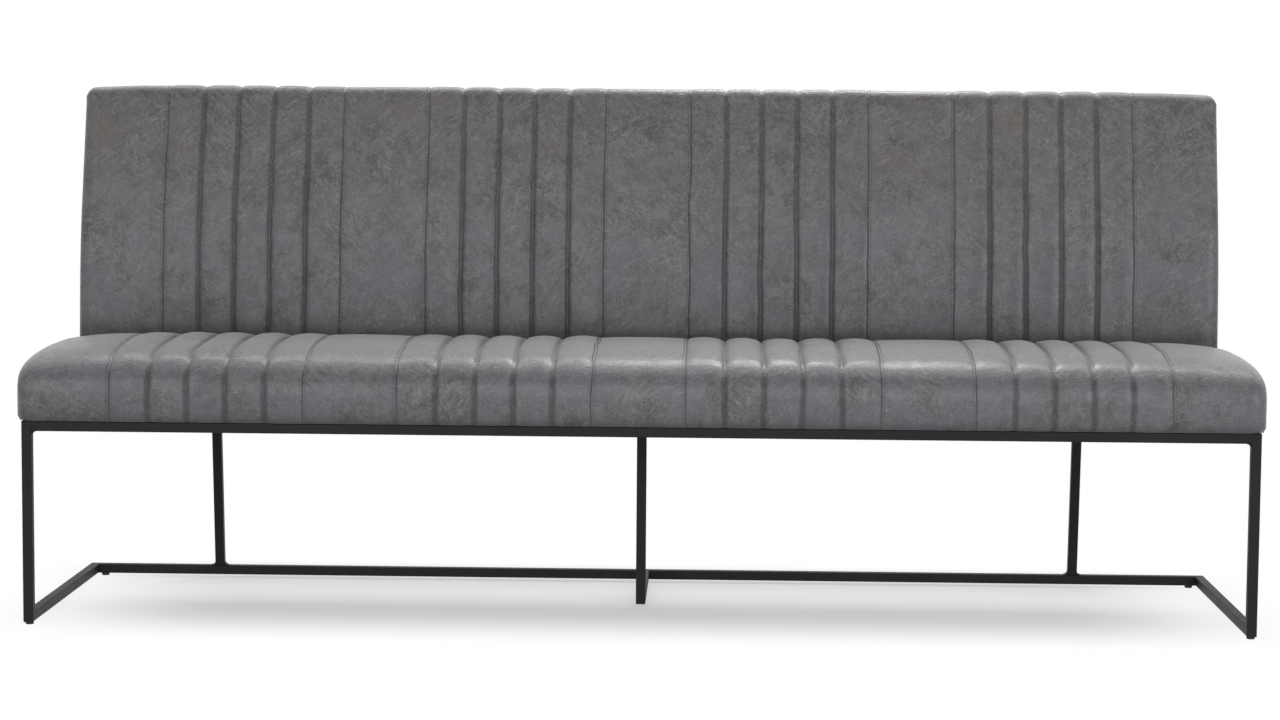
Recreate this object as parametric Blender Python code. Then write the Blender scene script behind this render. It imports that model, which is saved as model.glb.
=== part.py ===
"""Upholstered kitchen bench: a welded square-tube frame that carries a channelled seat and backrest.

Metres, +Z up. The front of the bench faces -Y. While modelling, Y = 0 is the front face of the
front legs and Z = 0 is the floor; the parent empty then centres the finished bench over the origin.
"""
import math

import bmesh
import bpy
import numpy as np
from mathutils import Vector

# Clearance between pieces that touch
GAP = 0.0003

# Steel frame
FRAME_WIDTH = 2.200
SEAT_RAIL_TOP = 0.3675
TUBE_SIDE = 0.018
TUBE_WALL = 0.0015
TUBE_CORNER = 0.002
CENTRE_LEG_SETBACK = 0.264
REAR_RAIL_SETBACK = 0.0218
UPRIGHT_INSET = 0.259
UPRIGHT_LEAN = math.radians(6.5)
WELD_SIZE = 0.008
WELD_BITE = 0.0005
WELD_CLEARANCE = 0.0006

# Glides
GLIDE_DIAMETER = 0.015
GLIDE_HEIGHT = 0.005
GLIDE_CHAMFER = 0.001
GLIDE_STEM_DIAMETER = 0.006
GLIDE_STEM_LENGTH = 0.007
FRONT_GLIDE_SETBACK = 0.012
REAR_GLIDE_INSET = 0.012

# Seat base
LINING_THICKNESS = 0.0008
LINING_MARGIN = 0.012
BOARD_THICKNESS = 0.015

# Sewn pattern, shared by the seat and the back
CHANNEL_GROUPS = 4
CHANNELS_PER_GROUP = 5
CHANNEL_WIDTH = 0.0692
CHANNEL_RISE = 0.006
CHANNEL_PROFILE = ((0.18, 0.72), (0.5, 1.0), (0.82, 0.72))
PANEL_RISE = 0.004
PANEL_SEAM_SHARE = 0.1
END_SHARES = (1.0, 0.6, 0.3, 0.1, 0.0)

# Seat cover and foam
COVER_OVERHANG = 0.009
COVER_LIFT = 0.0015
COVER_WRAP = 0.005
COVER_CORNER = 0.022
COVER_TUCK = 0.003
SEAT_FRONT_OVERHANG = 0.006
SEAT_DEPTH = 0.4995
SEAT_FACE_TOP = 0.436
SEAT_CREST_HEIGHT = 0.4970
SEAT_CREST_SETBACK = 0.276
SEAT_SHOULDER_POWER = 2.3
SEAT_REAR_DROP = 0.042
SEAT_END_ROUND = 0.028
SEAT_END_DROP = 0.016
SEAT_END_DROOP = 0.0125
SEAT_QUILT = 0.014
SEAT_FRONT_PAD = 0.010
SEAT_REAR_WALL = 0.008
SEAT_END_PAD = 0.028
SEAT_FRONT_SWELL = 0.5
SEAT_CREST_SWELL = 1.55
SEAT_FRONT_DEGREES = (0, 20, 40, 60, 90)
SEAT_REAR_DEGREES = (45, 0)

# Backrest
BACK_TOP = 0.966
BACK_FACE_SETBACK = 0.0005
RECLINE_ANGLE = math.radians(17.2)
RECLINE_BEND_HEIGHT = 0.660
RECLINE_BEND_LENGTH = 0.100
BACK_BASE_DEPTH = 0.092
BACK_TOP_DEPTH = 0.063
BACK_TOP_ROUND = 0.022
BACK_REAR_ROUND = 0.010
BACK_END_ROUND = 0.014
BACK_END_DROOP = 0.005
BACK_END_DRAW = 0.002
BACK_END_DRAW_REACH = 0.120
BACK_QUILT = 0.012
BACK_TOP_WALL = 0.012
BACK_END_WALL = 0.010
BACK_TOP_LIFT = 0.6
BACK_FACE_SHARES = (0.0, 0.22, 0.40, 0.58, 0.78)
BACK_TOP_SHARES = (0.0, 0.5, 1.0)
REAR_PANEL_THICKNESS = 0.005
REAR_PANEL_CROWN = 0.002

# Timber frame inside the backrest
POST_COUNT = 4
POST_WIDTH = 0.050
POST_DEPTH = 0.025
TIMBER_RAIL_HEIGHT = 0.050
BACK_PLY_THICKNESS = 0.006

# Screws
SCREW_DIAMETER = 0.005
SCREW_HEAD_DIAMETER = 0.010
SCREW_HEAD_HEIGHT = 0.003
SCREW_ACCESS_DIAMETER = 0.0116
SCREW_DOME_PROFILE = ((0.55, 1.0), (0.88, 0.65), (1.0, 0.0))
SEAT_SCREW_COUNT = 4
SEAT_SCREW_INSET = 0.180
SEAT_SCREW_BITE = 0.011
BACK_SCREW_BITE = 0.035

# Facets
CORNER_STEPS = 3
ROUND_SIDES = 12
GLIDE_SIDES = 24
SMOOTH_ANGLE = math.radians(35)

# Levels and places that follow from the sizes above
HALF_TUBE = TUBE_SIDE / 2
SIDE_X = FRAME_WIDTH / 2 - HALF_TUBE
RAIL_Z = SEAT_RAIL_TOP - HALF_TUBE
FLOOR_Z = GLIDE_HEIGHT + HALF_TUBE
FLOOR_TUBE_TOP = GLIDE_HEIGHT + TUBE_SIDE
RAIL_UNDERSIDE = SEAT_RAIL_TOP - TUBE_SIDE
UPRIGHT_RISE = RAIL_UNDERSIDE - FLOOR_TUBE_TOP
CENTRE_LEG_Y = CENTRE_LEG_SETBACK + HALF_TUBE

LINING_BASE = SEAT_RAIL_TOP + GAP
BOARD_BASE = LINING_BASE + LINING_THICKNESS + GAP
BOARD_TOP = BOARD_BASE + BOARD_THICKNESS
COVER_BASE = SEAT_RAIL_TOP + COVER_LIFT
COVER_HALF = FRAME_WIDTH / 2 + COVER_OVERHANG
SEAT_FRONT_Y = -SEAT_FRONT_OVERHANG
SEAT_REAR_Y = SEAT_FRONT_Y + SEAT_DEPTH
SEAT_CREST_Y = SEAT_FRONT_Y + SEAT_CREST_SETBACK
BACK_FACE_Y = SEAT_REAR_Y + BACK_FACE_SETBACK + CHANNEL_RISE
BACK_REAR_Y = BACK_FACE_Y + BACK_BASE_DEPTH
REAR_RAIL_Y = BACK_FACE_Y + REAR_RAIL_SETBACK
REAR_FLOOR_Y = REAR_RAIL_Y + UPRIGHT_RISE * math.tan(UPRIGHT_LEAN)
BOARD_HALF = COVER_HALF - COVER_WRAP - GAP
BOARD_FRONT_Y = SEAT_FRONT_Y + COVER_WRAP + GAP
BOARD_REAR_Y = BACK_REAR_Y - REAR_PANEL_THICKNESS - GAP
PLAIN_PANEL_WIDTH = (
    2 * COVER_HALF - CHANNEL_GROUPS * CHANNELS_PER_GROUP * CHANNEL_WIDTH
) / (CHANNEL_GROUPS + 1)

STEEL = ("powder_coated_steel", (0.022, 0.021, 0.023), 0.42, 0.2)
PLASTIC = ("black_glide_plastic", (0.012, 0.012, 0.012), 0.55, 0.0)
LEATHER = ("grey_worn_leather", (0.135, 0.135, 0.133), 0.48, 0.0)
FOAM = ("seat_foam", (0.72, 0.68, 0.52), 0.95, 0.0)
PLYWOOD = ("birch_plywood", (0.50, 0.36, 0.21), 0.70, 0.0)
LINING = ("black_lining_cloth", (0.015, 0.015, 0.016), 0.95, 0.0)
ZINC = ("zinc_plated_screw", (0.60, 0.60, 0.58), 0.35, 1.0)


def clear_scene():
    """Remove whatever the file holds."""
    for item in list(bpy.data.objects):
        bpy.data.objects.remove(item, do_unlink=True)


def add_material(item, finish):
    """Give an object its own Principled material."""
    label, colour, roughness, metallic = finish
    material = bpy.data.materials.new(f"{item.name}_{label}")
    material.use_nodes = True
    shader = material.node_tree.nodes["Principled BSDF"]
    shader.inputs["Base Color"].default_value = (*colour, 1.0)
    shader.inputs["Roughness"].default_value = roughness
    shader.inputs["Metallic"].default_value = metallic
    material.diffuse_color = (*colour, 1.0)
    item.data.materials.append(material)


def add_object(name, shape, parent, finish=None):
    """Turn a bmesh into a named object under the parent; without a finish it is a cutter."""
    bmesh.ops.recalc_face_normals(shape, faces=shape.faces)
    mesh = bpy.data.meshes.new(name)
    shape.to_mesh(mesh)
    shape.free()
    item = bpy.data.objects.new(name, mesh)
    item.parent = parent
    bpy.context.scene.collection.objects.link(item)
    if finish is None:
        item.hide_render = True
        item.display_type = "WIRE"
    else:
        add_material(item, finish)
    return item


def apply_boolean(item, other, operation):
    """Keep a live Boolean between an object and a hidden helper."""
    modifier = item.modifiers.new(f"{operation.lower()}_{other.name}", "BOOLEAN")
    modifier.operation = operation
    modifier.solver = "EXACT"
    modifier.object = other


def shade_round(item):
    """Shade curved faces smooth and keep the sharper edges."""
    item.data.shade_smooth()
    item.data.set_sharp_from_angle(angle=SMOOTH_ANGLE)


def rounded_square(side, corner, steps):
    """Points of a square with rounded corners, anticlockwise about its centre."""
    reach = side / 2 - corner
    points = []
    for quarter in range(4):
        middle = math.pi / 4 + quarter * math.pi / 2
        centre_a = math.copysign(reach, math.cos(middle))
        centre_b = math.copysign(reach, math.sin(middle))
        for step in range(steps + 1):
            angle = quarter * math.pi / 2 + step / steps * math.pi / 2
            points.append((centre_a + corner * math.cos(angle), centre_b + corner * math.sin(angle)))
    return points


def tube_shape(start, end, start_cut, end_cut, across):
    """Hollow square tube between two points, each end cut by the plane with the given normal."""
    start = Vector(start)
    end = Vector(end)
    axis = (end - start).normalized()
    side_a = Vector(across).normalized()
    side_b = axis.cross(side_a)
    inner_corner = max(TUBE_CORNER - TUBE_WALL, TUBE_WALL / 4)
    outlines = (
        rounded_square(TUBE_SIDE, TUBE_CORNER, CORNER_STEPS),
        rounded_square(TUBE_SIDE - 2 * TUBE_WALL, inner_corner, CORNER_STEPS),
    )
    shape = bmesh.new()
    rings = []
    for outline in outlines:
        for point, cut in ((start, Vector(start_cut)), (end, Vector(end_cut))):
            ring = []
            for a, b in outline:
                offset = side_a * a + side_b * b
                slide = -offset.dot(cut) / axis.dot(cut)
                ring.append(shape.verts.new(point + offset + axis * slide))
            rings.append(ring)
    outer_start, outer_end, inner_start, inner_end = rings
    count = len(outer_start)
    for first, second in (
        (outer_start, outer_end),
        (outer_end, inner_end),
        (inner_end, inner_start),
        (inner_start, outer_start),
    ):
        for index in range(count):
            after = (index + 1) % count
            shape.faces.new((first[index], first[after], second[after], second[index]))
    return shape


def prism_shape(outline, low, high, axis="X"):
    """Closed outline of (Y, Z) pairs carried along X, or of (X, Y) pairs carried along Z."""
    shape = bmesh.new()
    rings = []
    for level in (low, high):
        if axis == "X":
            rings.append([shape.verts.new((level, a, b)) for a, b in outline])
        else:
            rings.append([shape.verts.new((a, b, level)) for a, b in outline])
    count = len(outline)
    for index in range(count):
        after = (index + 1) % count
        shape.faces.new((rings[0][index], rings[0][after], rings[1][after], rings[1][index]))
    shape.faces.new(rings[0][::-1])
    shape.faces.new(rings[1])
    return shape


def turned_shape(profile, centre, sides):
    """Profile of (radius, height) pairs turned about a vertical axis through the centre."""
    shape = bmesh.new()
    rings = []
    for radius, height in profile:
        ring = []
        for step in range(sides):
            angle = 2 * math.pi * step / sides
            place = (centre[0] + radius * math.cos(angle), centre[1] + radius * math.sin(angle), height)
            ring.append(shape.verts.new(place))
        rings.append(ring)
    for lower, upper in zip(rings, rings[1:]):
        for index in range(sides):
            after = (index + 1) % sides
            shape.faces.new((lower[index], lower[after], upper[after], upper[index]))
    shape.faces.new(rings[0][::-1])
    shape.faces.new(rings[-1])
    return shape


def cut_turned(item, label, profile, centres, parent):
    """Cut one turned hole out of an object at each of the plan positions."""
    shape = bmesh.new()
    for place in centres:
        hole = turned_shape(profile, place, ROUND_SIDES)
        mesh = bpy.data.meshes.new("hole")
        hole.to_mesh(mesh)
        hole.free()
        shape.from_mesh(mesh)
        bpy.data.meshes.remove(mesh)
    cutter = add_object(f"{item.name}_{label}", shape, parent)
    apply_boolean(item, cutter, "DIFFERENCE")


def drill(item, centres, radius, low, high, parent):
    """Cut upright round holes through an object between two heights."""
    cut_turned(item, "holes", [(radius, low), (radius, high)], centres, parent)


def add_tube(name, start, end, start_cut, end_cut, across, parent):
    """One steel tube of the frame."""
    item = add_object(name, tube_shape(start, end, start_cut, end_cut, across), parent, STEEL)
    shade_round(item)
    return item


def weld_on(item, corner, side, up, parent):
    """Join a hollow-faced weld to an upright tube, in the corner it makes with a level tube.

    The corner is the point where the tube's face meets the level tube, side is +1 or -1 along X
    away from the tube, and up is +1 where the level tube lies below the weld and -1 where above.
    """
    x, y, z = corner
    size = WELD_SIZE
    outline = [(-WELD_BITE, 0.0), (size, 0.0)]
    for step in range(1, CORNER_STEPS):
        angle = step / CORNER_STEPS * math.pi / 2
        outline.append((size - size * math.sin(angle), size - size * math.cos(angle)))
    outline.append((-WELD_BITE, size))
    reach = HALF_TUBE - TUBE_CORNER - WELD_BITE
    shape = bmesh.new()
    rings = []
    for level in (y - reach, y + reach):
        places = [(x + side * a, level, z + up * (b + WELD_CLEARANCE)) for a, b in outline]
        rings.append([shape.verts.new(place) for place in places])
    count = len(outline)
    for index in range(count):
        after = (index + 1) % count
        shape.faces.new((rings[0][index], rings[0][after], rings[1][after], rings[1][index]))
    shape.faces.new(rings[0][::-1])
    shape.faces.new(rings[1])
    above_below = "foot" if up > 0 else "head"
    left_right = "right" if side > 0 else "left"
    weld = add_object(f"{item.name}_weld_{above_below}_{left_right}", shape, parent)
    apply_boolean(item, weld, "UNION")


def seat_screw_places():
    """Plan positions of the screws in the front and rear seat rails."""
    reach = FRAME_WIDTH / 2 - SEAT_SCREW_INSET
    columns = np.linspace(-reach, reach, SEAT_SCREW_COUNT)
    front = [(float(x), HALF_TUBE) for x in columns]
    rear = [(float(x), REAR_RAIL_Y) for x in columns]
    return front, rear


def build_seat_rails(parent):
    """The rectangle of rails under the seat, with its centre cross rail."""
    mitre = GAP / 2 * math.sqrt(2)
    front_screws, rear_screws = seat_screw_places()
    hole_radius = SCREW_DIAMETER / 2 + GAP
    access_radius = SCREW_ACCESS_DIAMETER / 2
    screw_way = [
        (access_radius, RAIL_UNDERSIDE - GAP),
        (access_radius, RAIL_Z),
        (hole_radius, RAIL_Z),
        (hole_radius, LINING_BASE),
    ]

    front = add_tube(
        "seat_rail_front",
        (-SIDE_X + mitre, HALF_TUBE, RAIL_Z),
        (SIDE_X - mitre, HALF_TUBE, RAIL_Z),
        (1, 0, 1),
        (1, 0, -1),
        (0, 1, 0),
        parent,
    )
    cut_turned(front, "screw_ways", screw_way, front_screws, parent)
    rear = add_tube(
        "seat_rail_rear",
        (-SIDE_X + mitre, REAR_RAIL_Y, RAIL_Z),
        (SIDE_X - mitre, REAR_RAIL_Y, RAIL_Z),
        (1, 1, 0),
        (1, -1, 0),
        (0, 1, 0),
        parent,
    )
    cut_turned(rear, "screw_ways", screw_way, rear_screws, parent)
    for label, side in (("left", -1), ("right", 1)):
        add_tube(
            f"seat_rail_{label}",
            (side * SIDE_X, TUBE_SIDE + GAP, RAIL_Z),
            (side * SIDE_X, REAR_RAIL_Y - mitre, RAIL_Z),
            (0, 1, 0),
            (-side, 1, 0),
            (1, 0, 0),
            parent,
        )
    add_tube(
        "seat_rail_centre",
        (0, TUBE_SIDE + GAP, RAIL_Z),
        (0, REAR_RAIL_Y - HALF_TUBE - GAP, RAIL_Z),
        (0, 1, 0),
        (0, 1, 0),
        (1, 0, 0),
        parent,
    )


def build_legs(parent):
    """The two front legs, mitred to the front rail and the runners, and the set-back centre leg."""
    mitre = GAP / 2 * math.sqrt(2)
    for label, side in (("left", -1), ("right", 1)):
        leg = add_tube(
            f"front_leg_{label}",
            (side * SIDE_X, HALF_TUBE, FLOOR_Z + mitre),
            (side * SIDE_X, HALF_TUBE, RAIL_Z - mitre),
            (0, -1, 1),
            (-side, 0, 1),
            (1, 0, 0),
            parent,
        )
        inner_face = side * (SIDE_X - HALF_TUBE)
        weld_on(leg, (inner_face, HALF_TUBE, RAIL_UNDERSIDE), -side, -1, parent)
    add_tube(
        "centre_leg",
        (0, CENTRE_LEG_Y, FLOOR_Z + mitre),
        (0, CENTRE_LEG_Y, RAIL_UNDERSIDE - GAP),
        (0, -1, 1),
        (0, 0, 1),
        (1, 0, 0),
        parent,
    )


def build_floor_tubes(parent):
    """The runners along the floor and the rail that joins them at the rear."""
    mitre = GAP / 2 * math.sqrt(2)
    stem_radius = GLIDE_STEM_DIAMETER / 2 + GAP
    hole_low = GLIDE_HEIGHT - GAP
    hole_high = GLIDE_HEIGHT + TUBE_WALL + GAP
    for label, side in (("left", -1), ("right", 1)):
        runner = add_tube(
            f"floor_runner_{label}",
            (side * SIDE_X, HALF_TUBE + mitre, FLOOR_Z),
            (side * SIDE_X, REAR_FLOOR_Y - mitre, FLOOR_Z),
            (0, 1, -1),
            (-side, 1, 0),
            (1, 0, 0),
            parent,
        )
        drill(runner, [(side * SIDE_X, FRONT_GLIDE_SETBACK)], stem_radius, hole_low, hole_high, parent)
    add_tube(
        "floor_runner_centre",
        (0, CENTRE_LEG_Y + mitre, FLOOR_Z),
        (0, REAR_FLOOR_Y - HALF_TUBE - GAP, FLOOR_Z),
        (0, 1, -1),
        (0, 1, 0),
        (1, 0, 0),
        parent,
    )
    rail = add_tube(
        "floor_rail_rear",
        (-SIDE_X + mitre, REAR_FLOOR_Y, FLOOR_Z),
        (SIDE_X - mitre, REAR_FLOOR_Y, FLOOR_Z),
        (1, 1, 0),
        (1, -1, 0),
        (0, 1, 0),
        parent,
    )
    reach = SIDE_X - HALF_TUBE - REAR_GLIDE_INSET
    drill(rail, [(-reach, REAR_FLOOR_Y), (reach, REAR_FLOOR_Y)], stem_radius, hole_low, hole_high, parent)


def build_uprights(parent):
    """The rear uprights, which lean forward from the rear floor rail to the rear seat rail."""
    tilt = math.tan(UPRIGHT_LEAN)
    for label, side in (("left", -1), ("right", 1)):
        x = side * (FRAME_WIDTH / 2 - UPRIGHT_INSET)
        upright = add_tube(
            f"rear_upright_{label}",
            (x, REAR_FLOOR_Y - GAP * tilt, FLOOR_TUBE_TOP + GAP),
            (x, REAR_RAIL_Y + GAP * tilt, RAIL_UNDERSIDE - GAP),
            (0, 0, 1),
            (0, 0, 1),
            (1, 0, 0),
            parent,
        )
        for weld_side in (-1, 1):
            face = x + weld_side * HALF_TUBE
            weld_on(upright, (face, REAR_FLOOR_Y, FLOOR_TUBE_TOP), weld_side, 1, parent)
            weld_on(upright, (face, REAR_RAIL_Y, RAIL_UNDERSIDE), weld_side, -1, parent)


def build_glides(parent):
    """Round plastic glides pushed into the undersides of the floor tubes."""
    radius = GLIDE_DIAMETER / 2
    stem = GLIDE_STEM_DIAMETER / 2
    seat = GLIDE_HEIGHT - GAP
    profile = [
        (radius - GLIDE_CHAMFER, 0.0),
        (radius, GLIDE_CHAMFER),
        (radius, seat),
        (stem, seat),
        (stem, GLIDE_HEIGHT + GLIDE_STEM_LENGTH),
    ]
    rear_x = SIDE_X - HALF_TUBE - REAR_GLIDE_INSET
    for label, side in (("left", -1), ("right", 1)):
        places = {
            "front": (side * SIDE_X, FRONT_GLIDE_SETBACK),
            "rear": (side * rear_x, REAR_FLOOR_Y),
        }
        for end, place in places.items():
            shape = turned_shape(profile, place, GLIDE_SIDES)
            glide = add_object(f"glide_{end}_{label}", shape, parent, PLASTIC)
            shade_round(glide)


def base_outline(half_width, front, rear, corner):
    """Plan of the seat base: round front corners and square rear ones, as (X, Y) pairs."""
    points = [(half_width, rear), (-half_width, rear)]
    for side, first in ((-1, math.pi), (1, 1.5 * math.pi)):
        for step in range(CORNER_STEPS + 1):
            angle = first + step / CORNER_STEPS * math.pi / 2
            x = side * (half_width - corner) + corner * math.cos(angle)
            points.append((x, front + corner + corner * math.sin(angle)))
    return points


def back_screw_places():
    """Plan positions of the screws that hold the backrest, one under each post."""
    y = timber_rear(BOARD_TOP) - POST_DEPTH / 2
    return [(x, y) for x in post_columns()]


def build_seat_base(parent):
    """Lining cloth and plywood board on the seat rails, with their screw holes."""
    front_screws, rear_screws = seat_screw_places()
    screws = front_screws + rear_screws
    clear = SCREW_DIAMETER / 2 + GAP
    corner = COVER_CORNER - COVER_WRAP
    margin = LINING_MARGIN - COVER_WRAP
    lining_outline = base_outline(
        BOARD_HALF - margin, BOARD_FRONT_Y, BOARD_REAR_Y - margin, corner
    )
    lining = add_object(
        "seat_lining",
        prism_shape(lining_outline, LINING_BASE, LINING_BASE + LINING_THICKNESS, "Z"),
        parent,
        LINING,
    )
    drill(lining, screws, clear, LINING_BASE - GAP, BOARD_BASE, parent)

    board_outline = base_outline(BOARD_HALF, BOARD_FRONT_Y, BOARD_REAR_Y, corner)
    board = add_object(
        "seat_board", prism_shape(board_outline, BOARD_BASE, BOARD_TOP, "Z"), parent, PLYWOOD
    )
    drill(board, screws, clear, LINING_BASE, BOARD_BASE + SEAT_SCREW_BITE + GAP, parent)
    head = SCREW_HEAD_DIAMETER / 2 + GAP
    countersink = [
        (head, BOARD_BASE - GAP),
        (head, BOARD_BASE + GAP),
        (clear, BOARD_BASE + SCREW_HEAD_HEIGHT + GAP),
        (clear, BOARD_TOP + GAP),
    ]
    cut_turned(board, "countersinks", countersink, back_screw_places(), parent)


def build_screws(parent):
    """Dome-headed screws inside the rails, up into the board, and countersunk ones up through the board."""
    head = SCREW_HEAD_DIAMETER / 2
    shank = SCREW_DIAMETER / 2
    seat = SEAT_RAIL_TOP - TUBE_WALL - GAP
    tip = BOARD_BASE + SEAT_SCREW_BITE
    dome = [(head * width, seat - SCREW_HEAD_HEIGHT * depth) for width, depth in SCREW_DOME_PROFILE]
    dome += [(shank, seat), (shank, tip - shank), (shank / 2, tip)]
    for row, places in zip(("front", "rear"), seat_screw_places()):
        for number, place in enumerate(places, start=1):
            shape = turned_shape(dome, place, ROUND_SIDES)
            screw = add_object(f"seat_screw_{row}_{number}", shape, parent, ZINC)
            shade_round(screw)
    top = BOARD_TOP + BACK_SCREW_BITE
    flat = [
        (head, BOARD_BASE),
        (shank, BOARD_BASE + SCREW_HEAD_HEIGHT),
        (shank, top - shank),
        (shank / 2, top),
    ]
    for number, place in enumerate(back_screw_places(), start=1):
        shape = turned_shape(flat, place, ROUND_SIDES)
        screw = add_object(f"back_screw_{number}", shape, parent, ZINC)
        shade_round(screw)


def sewn_stations():
    """Columns across the bench, as (X, rise) pairs, from the left seam to the right one.

    A channel swells between its two seams and a plain panel stays almost flat.
    """
    columns = []
    x = -COVER_HALF + PLAIN_PANEL_WIDTH
    for group in range(CHANNEL_GROUPS):
        for _ in range(CHANNELS_PER_GROUP):
            columns.append((x, 0.0))
            for share, level in CHANNEL_PROFILE:
                columns.append((x + share * CHANNEL_WIDTH, level * CHANNEL_RISE))
            x += CHANNEL_WIDTH
        columns.append((x, 0.0))
        if group < CHANNEL_GROUPS - 1:
            for share in (PANEL_SEAM_SHARE, 1 - PANEL_SEAM_SHARE):
                columns.append((x + share * PLAIN_PANEL_WIDTH, PANEL_RISE))
            x += PLAIN_PANEL_WIDTH
    return columns


def end_stations(round_reach):
    """Columns of the plain right-hand end, as (X, rise) pairs, closer together in the rounding."""
    seam = COVER_HALF - PLAIN_PANEL_WIDTH
    columns = [(seam + PANEL_SEAM_SHARE * PLAIN_PANEL_WIDTH, PANEL_RISE)]
    for share in END_SHARES:
        columns.append((COVER_HALF - share * round_reach, PANEL_RISE * share))
    return columns


def all_stations(round_reach):
    """Columns over the whole width."""
    right = end_stations(round_reach)
    left = [(-x, rise) for x, rise in reversed(right)]
    return left + sewn_stations() + right


def rounding(distance, reach):
    """Share of a quarter ellipse used up at this distance from the end, 0 inside and 1 at the end."""
    if distance >= reach:
        return 0.0
    return 1.0 - math.sqrt(max(0.0, 1.0 - ((reach - distance) / reach) ** 2))


def drooping(distance, reach):
    """Share of a slow droop used up at this distance from the end, 0 inside and 1 at the end."""
    return max(0.0, 1.0 - distance / reach) ** 1.5


def shoulder(degrees):
    """Shares of depth and height along the seat's shoulder, a curve squarer than an ellipse."""
    angle = math.radians(degrees)
    power = 2.0 / SEAT_SHOULDER_POWER
    return math.cos(angle) ** power, math.sin(angle) ** power


def loft_sections(sections):
    """Closed solid through cross sections that have equal numbers of points."""
    shape = bmesh.new()
    rings = []
    for section in sections:
        rings.append([shape.verts.new(point) for point in section])
    count = len(rings[0])
    for first, second in zip(rings, rings[1:]):
        for index in range(count):
            after = (index + 1) % count
            shape.faces.new((first[index], first[after], second[after], second[index]))
    shape.faces.new(rings[0][::-1])
    shape.faces.new(rings[-1])
    return shape


def seat_section(x, rise):
    """Outline of the seat cover at one column: upright front, round shoulder, long fall behind."""
    from_end = COVER_HALF - abs(x)
    drop = SEAT_END_DROP * rounding(from_end, SEAT_END_ROUND)
    drop += SEAT_END_DROOP * drooping(from_end, PLAIN_PANEL_WIDTH)
    inset = COVER_CORNER * rounding(from_end, COVER_CORNER)
    height = SEAT_CREST_HEIGHT - SEAT_FACE_TOP - drop
    front = SEAT_FRONT_Y + inset
    tucked = x * (COVER_HALF - COVER_TUCK) / COVER_HALF
    points = [
        (tucked, front + COVER_TUCK, COVER_BASE),
        (x, front - rise * SEAT_FRONT_SWELL, (COVER_BASE + SEAT_FACE_TOP) / 2),
    ]
    reach = SEAT_CREST_Y - front
    for degrees in SEAT_FRONT_DEGREES:
        deep, high = shoulder(degrees)
        y = SEAT_CREST_Y - (reach + rise) * deep
        points.append((x, y, SEAT_FACE_TOP + (height + rise * SEAT_CREST_SWELL) * high))
    rear_reach = SEAT_REAR_Y - SEAT_CREST_Y
    rear_drop = SEAT_REAR_DROP * (height / (SEAT_CREST_HEIGHT - SEAT_FACE_TOP))
    top = SEAT_FACE_TOP + height
    for degrees in SEAT_REAR_DEGREES:
        angle = math.radians(degrees)
        swell = rise * SEAT_CREST_SWELL * math.sin(angle)
        y = SEAT_CREST_Y + rear_reach * math.cos(angle)
        points.append((x, y, top - rear_drop + (rear_drop + swell) * math.sin(angle)))
    points.append((tucked, SEAT_REAR_Y, COVER_BASE))
    return points


def foam_outline(shrink):
    """Plain outline of the seat foam, or of the pocket it fills, drawn in by the given amount."""
    front = SEAT_FRONT_Y + SEAT_FRONT_PAD + shrink
    rear = SEAT_REAR_Y - SEAT_REAR_WALL - shrink
    crest = SEAT_CREST_HEIGHT - SEAT_QUILT - shrink
    base = BOARD_TOP + shrink
    face_top = SEAT_FACE_TOP - SEAT_FRONT_PAD
    points = [(front, base)]
    for degrees in SEAT_FRONT_DEGREES:
        deep, high = shoulder(degrees)
        points.append((SEAT_CREST_Y - (SEAT_CREST_Y - front) * deep, face_top + (crest - face_top) * high))
    points.append((rear, crest - SEAT_REAR_DROP))
    points.append((rear, base))
    return points


def cut_base_pocket(cover, parent):
    """Take the seat board's space, and all below it, out of a cover."""
    corner = COVER_CORNER - COVER_WRAP + GAP
    behind = BACK_REAR_Y + BACK_BASE_DEPTH
    outline = base_outline(BOARD_HALF + GAP, BOARD_FRONT_Y - GAP, behind, corner)
    pocket = prism_shape(outline, GLIDE_HEIGHT, BOARD_TOP + GAP, "Z")
    cutter = add_object(f"{cover.name}_base_pocket", pocket, parent)
    apply_boolean(cover, cutter, "DIFFERENCE")


def build_seat(parent):
    """Quilted seat cover with its foam block."""
    sections = [seat_section(x, rise) for x, rise in all_stations(SEAT_END_ROUND)]
    cover = add_object("seat_cover", loft_sections(sections), parent, LEATHER)
    foam_half = COVER_HALF - SEAT_END_PAD
    pocket_outline = foam_outline(0.0)
    pocket_outline[0] = (pocket_outline[0][0], BOARD_BASE)
    pocket_outline[-1] = (pocket_outline[-1][0], BOARD_BASE)
    pocket = prism_shape(pocket_outline, -foam_half, foam_half)
    cutter = add_object("seat_cover_foam_pocket", pocket, parent)
    apply_boolean(cover, cutter, "DIFFERENCE")
    cut_base_pocket(cover, parent)
    shade_round(cover)
    foam = prism_shape(foam_outline(GAP), -foam_half + GAP, foam_half - GAP)
    add_object("seat_foam", foam, parent, FOAM)


def back_face(z):
    """Y of the backrest's front at a height: upright below, leaning back above, with a smooth bend."""
    above = z - RECLINE_BEND_HEIGHT
    slope = math.tan(RECLINE_ANGLE)
    return BACK_FACE_Y + slope / 2 * (above + math.hypot(above, RECLINE_BEND_LENGTH))


def back_slope(z):
    """How fast the backrest's front leans back at a height."""
    above = z - RECLINE_BEND_HEIGHT
    return math.tan(RECLINE_ANGLE) / 2 * (1 + above / math.hypot(above, RECLINE_BEND_LENGTH))


def back_rear(z):
    """Y of the backrest's flat rear at a height, from its depths at the bottom and at the top."""
    top_y = back_face(BACK_TOP) + BACK_TOP_DEPTH
    share = (z - COVER_BASE) / (BACK_TOP - COVER_BASE)
    return BACK_REAR_Y + share * (top_y - BACK_REAR_Y)


def timber_rear(z):
    """Y of the rear faces of the timber frame at a height."""
    return back_rear(z) - REAR_PANEL_THICKNESS - GAP


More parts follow.
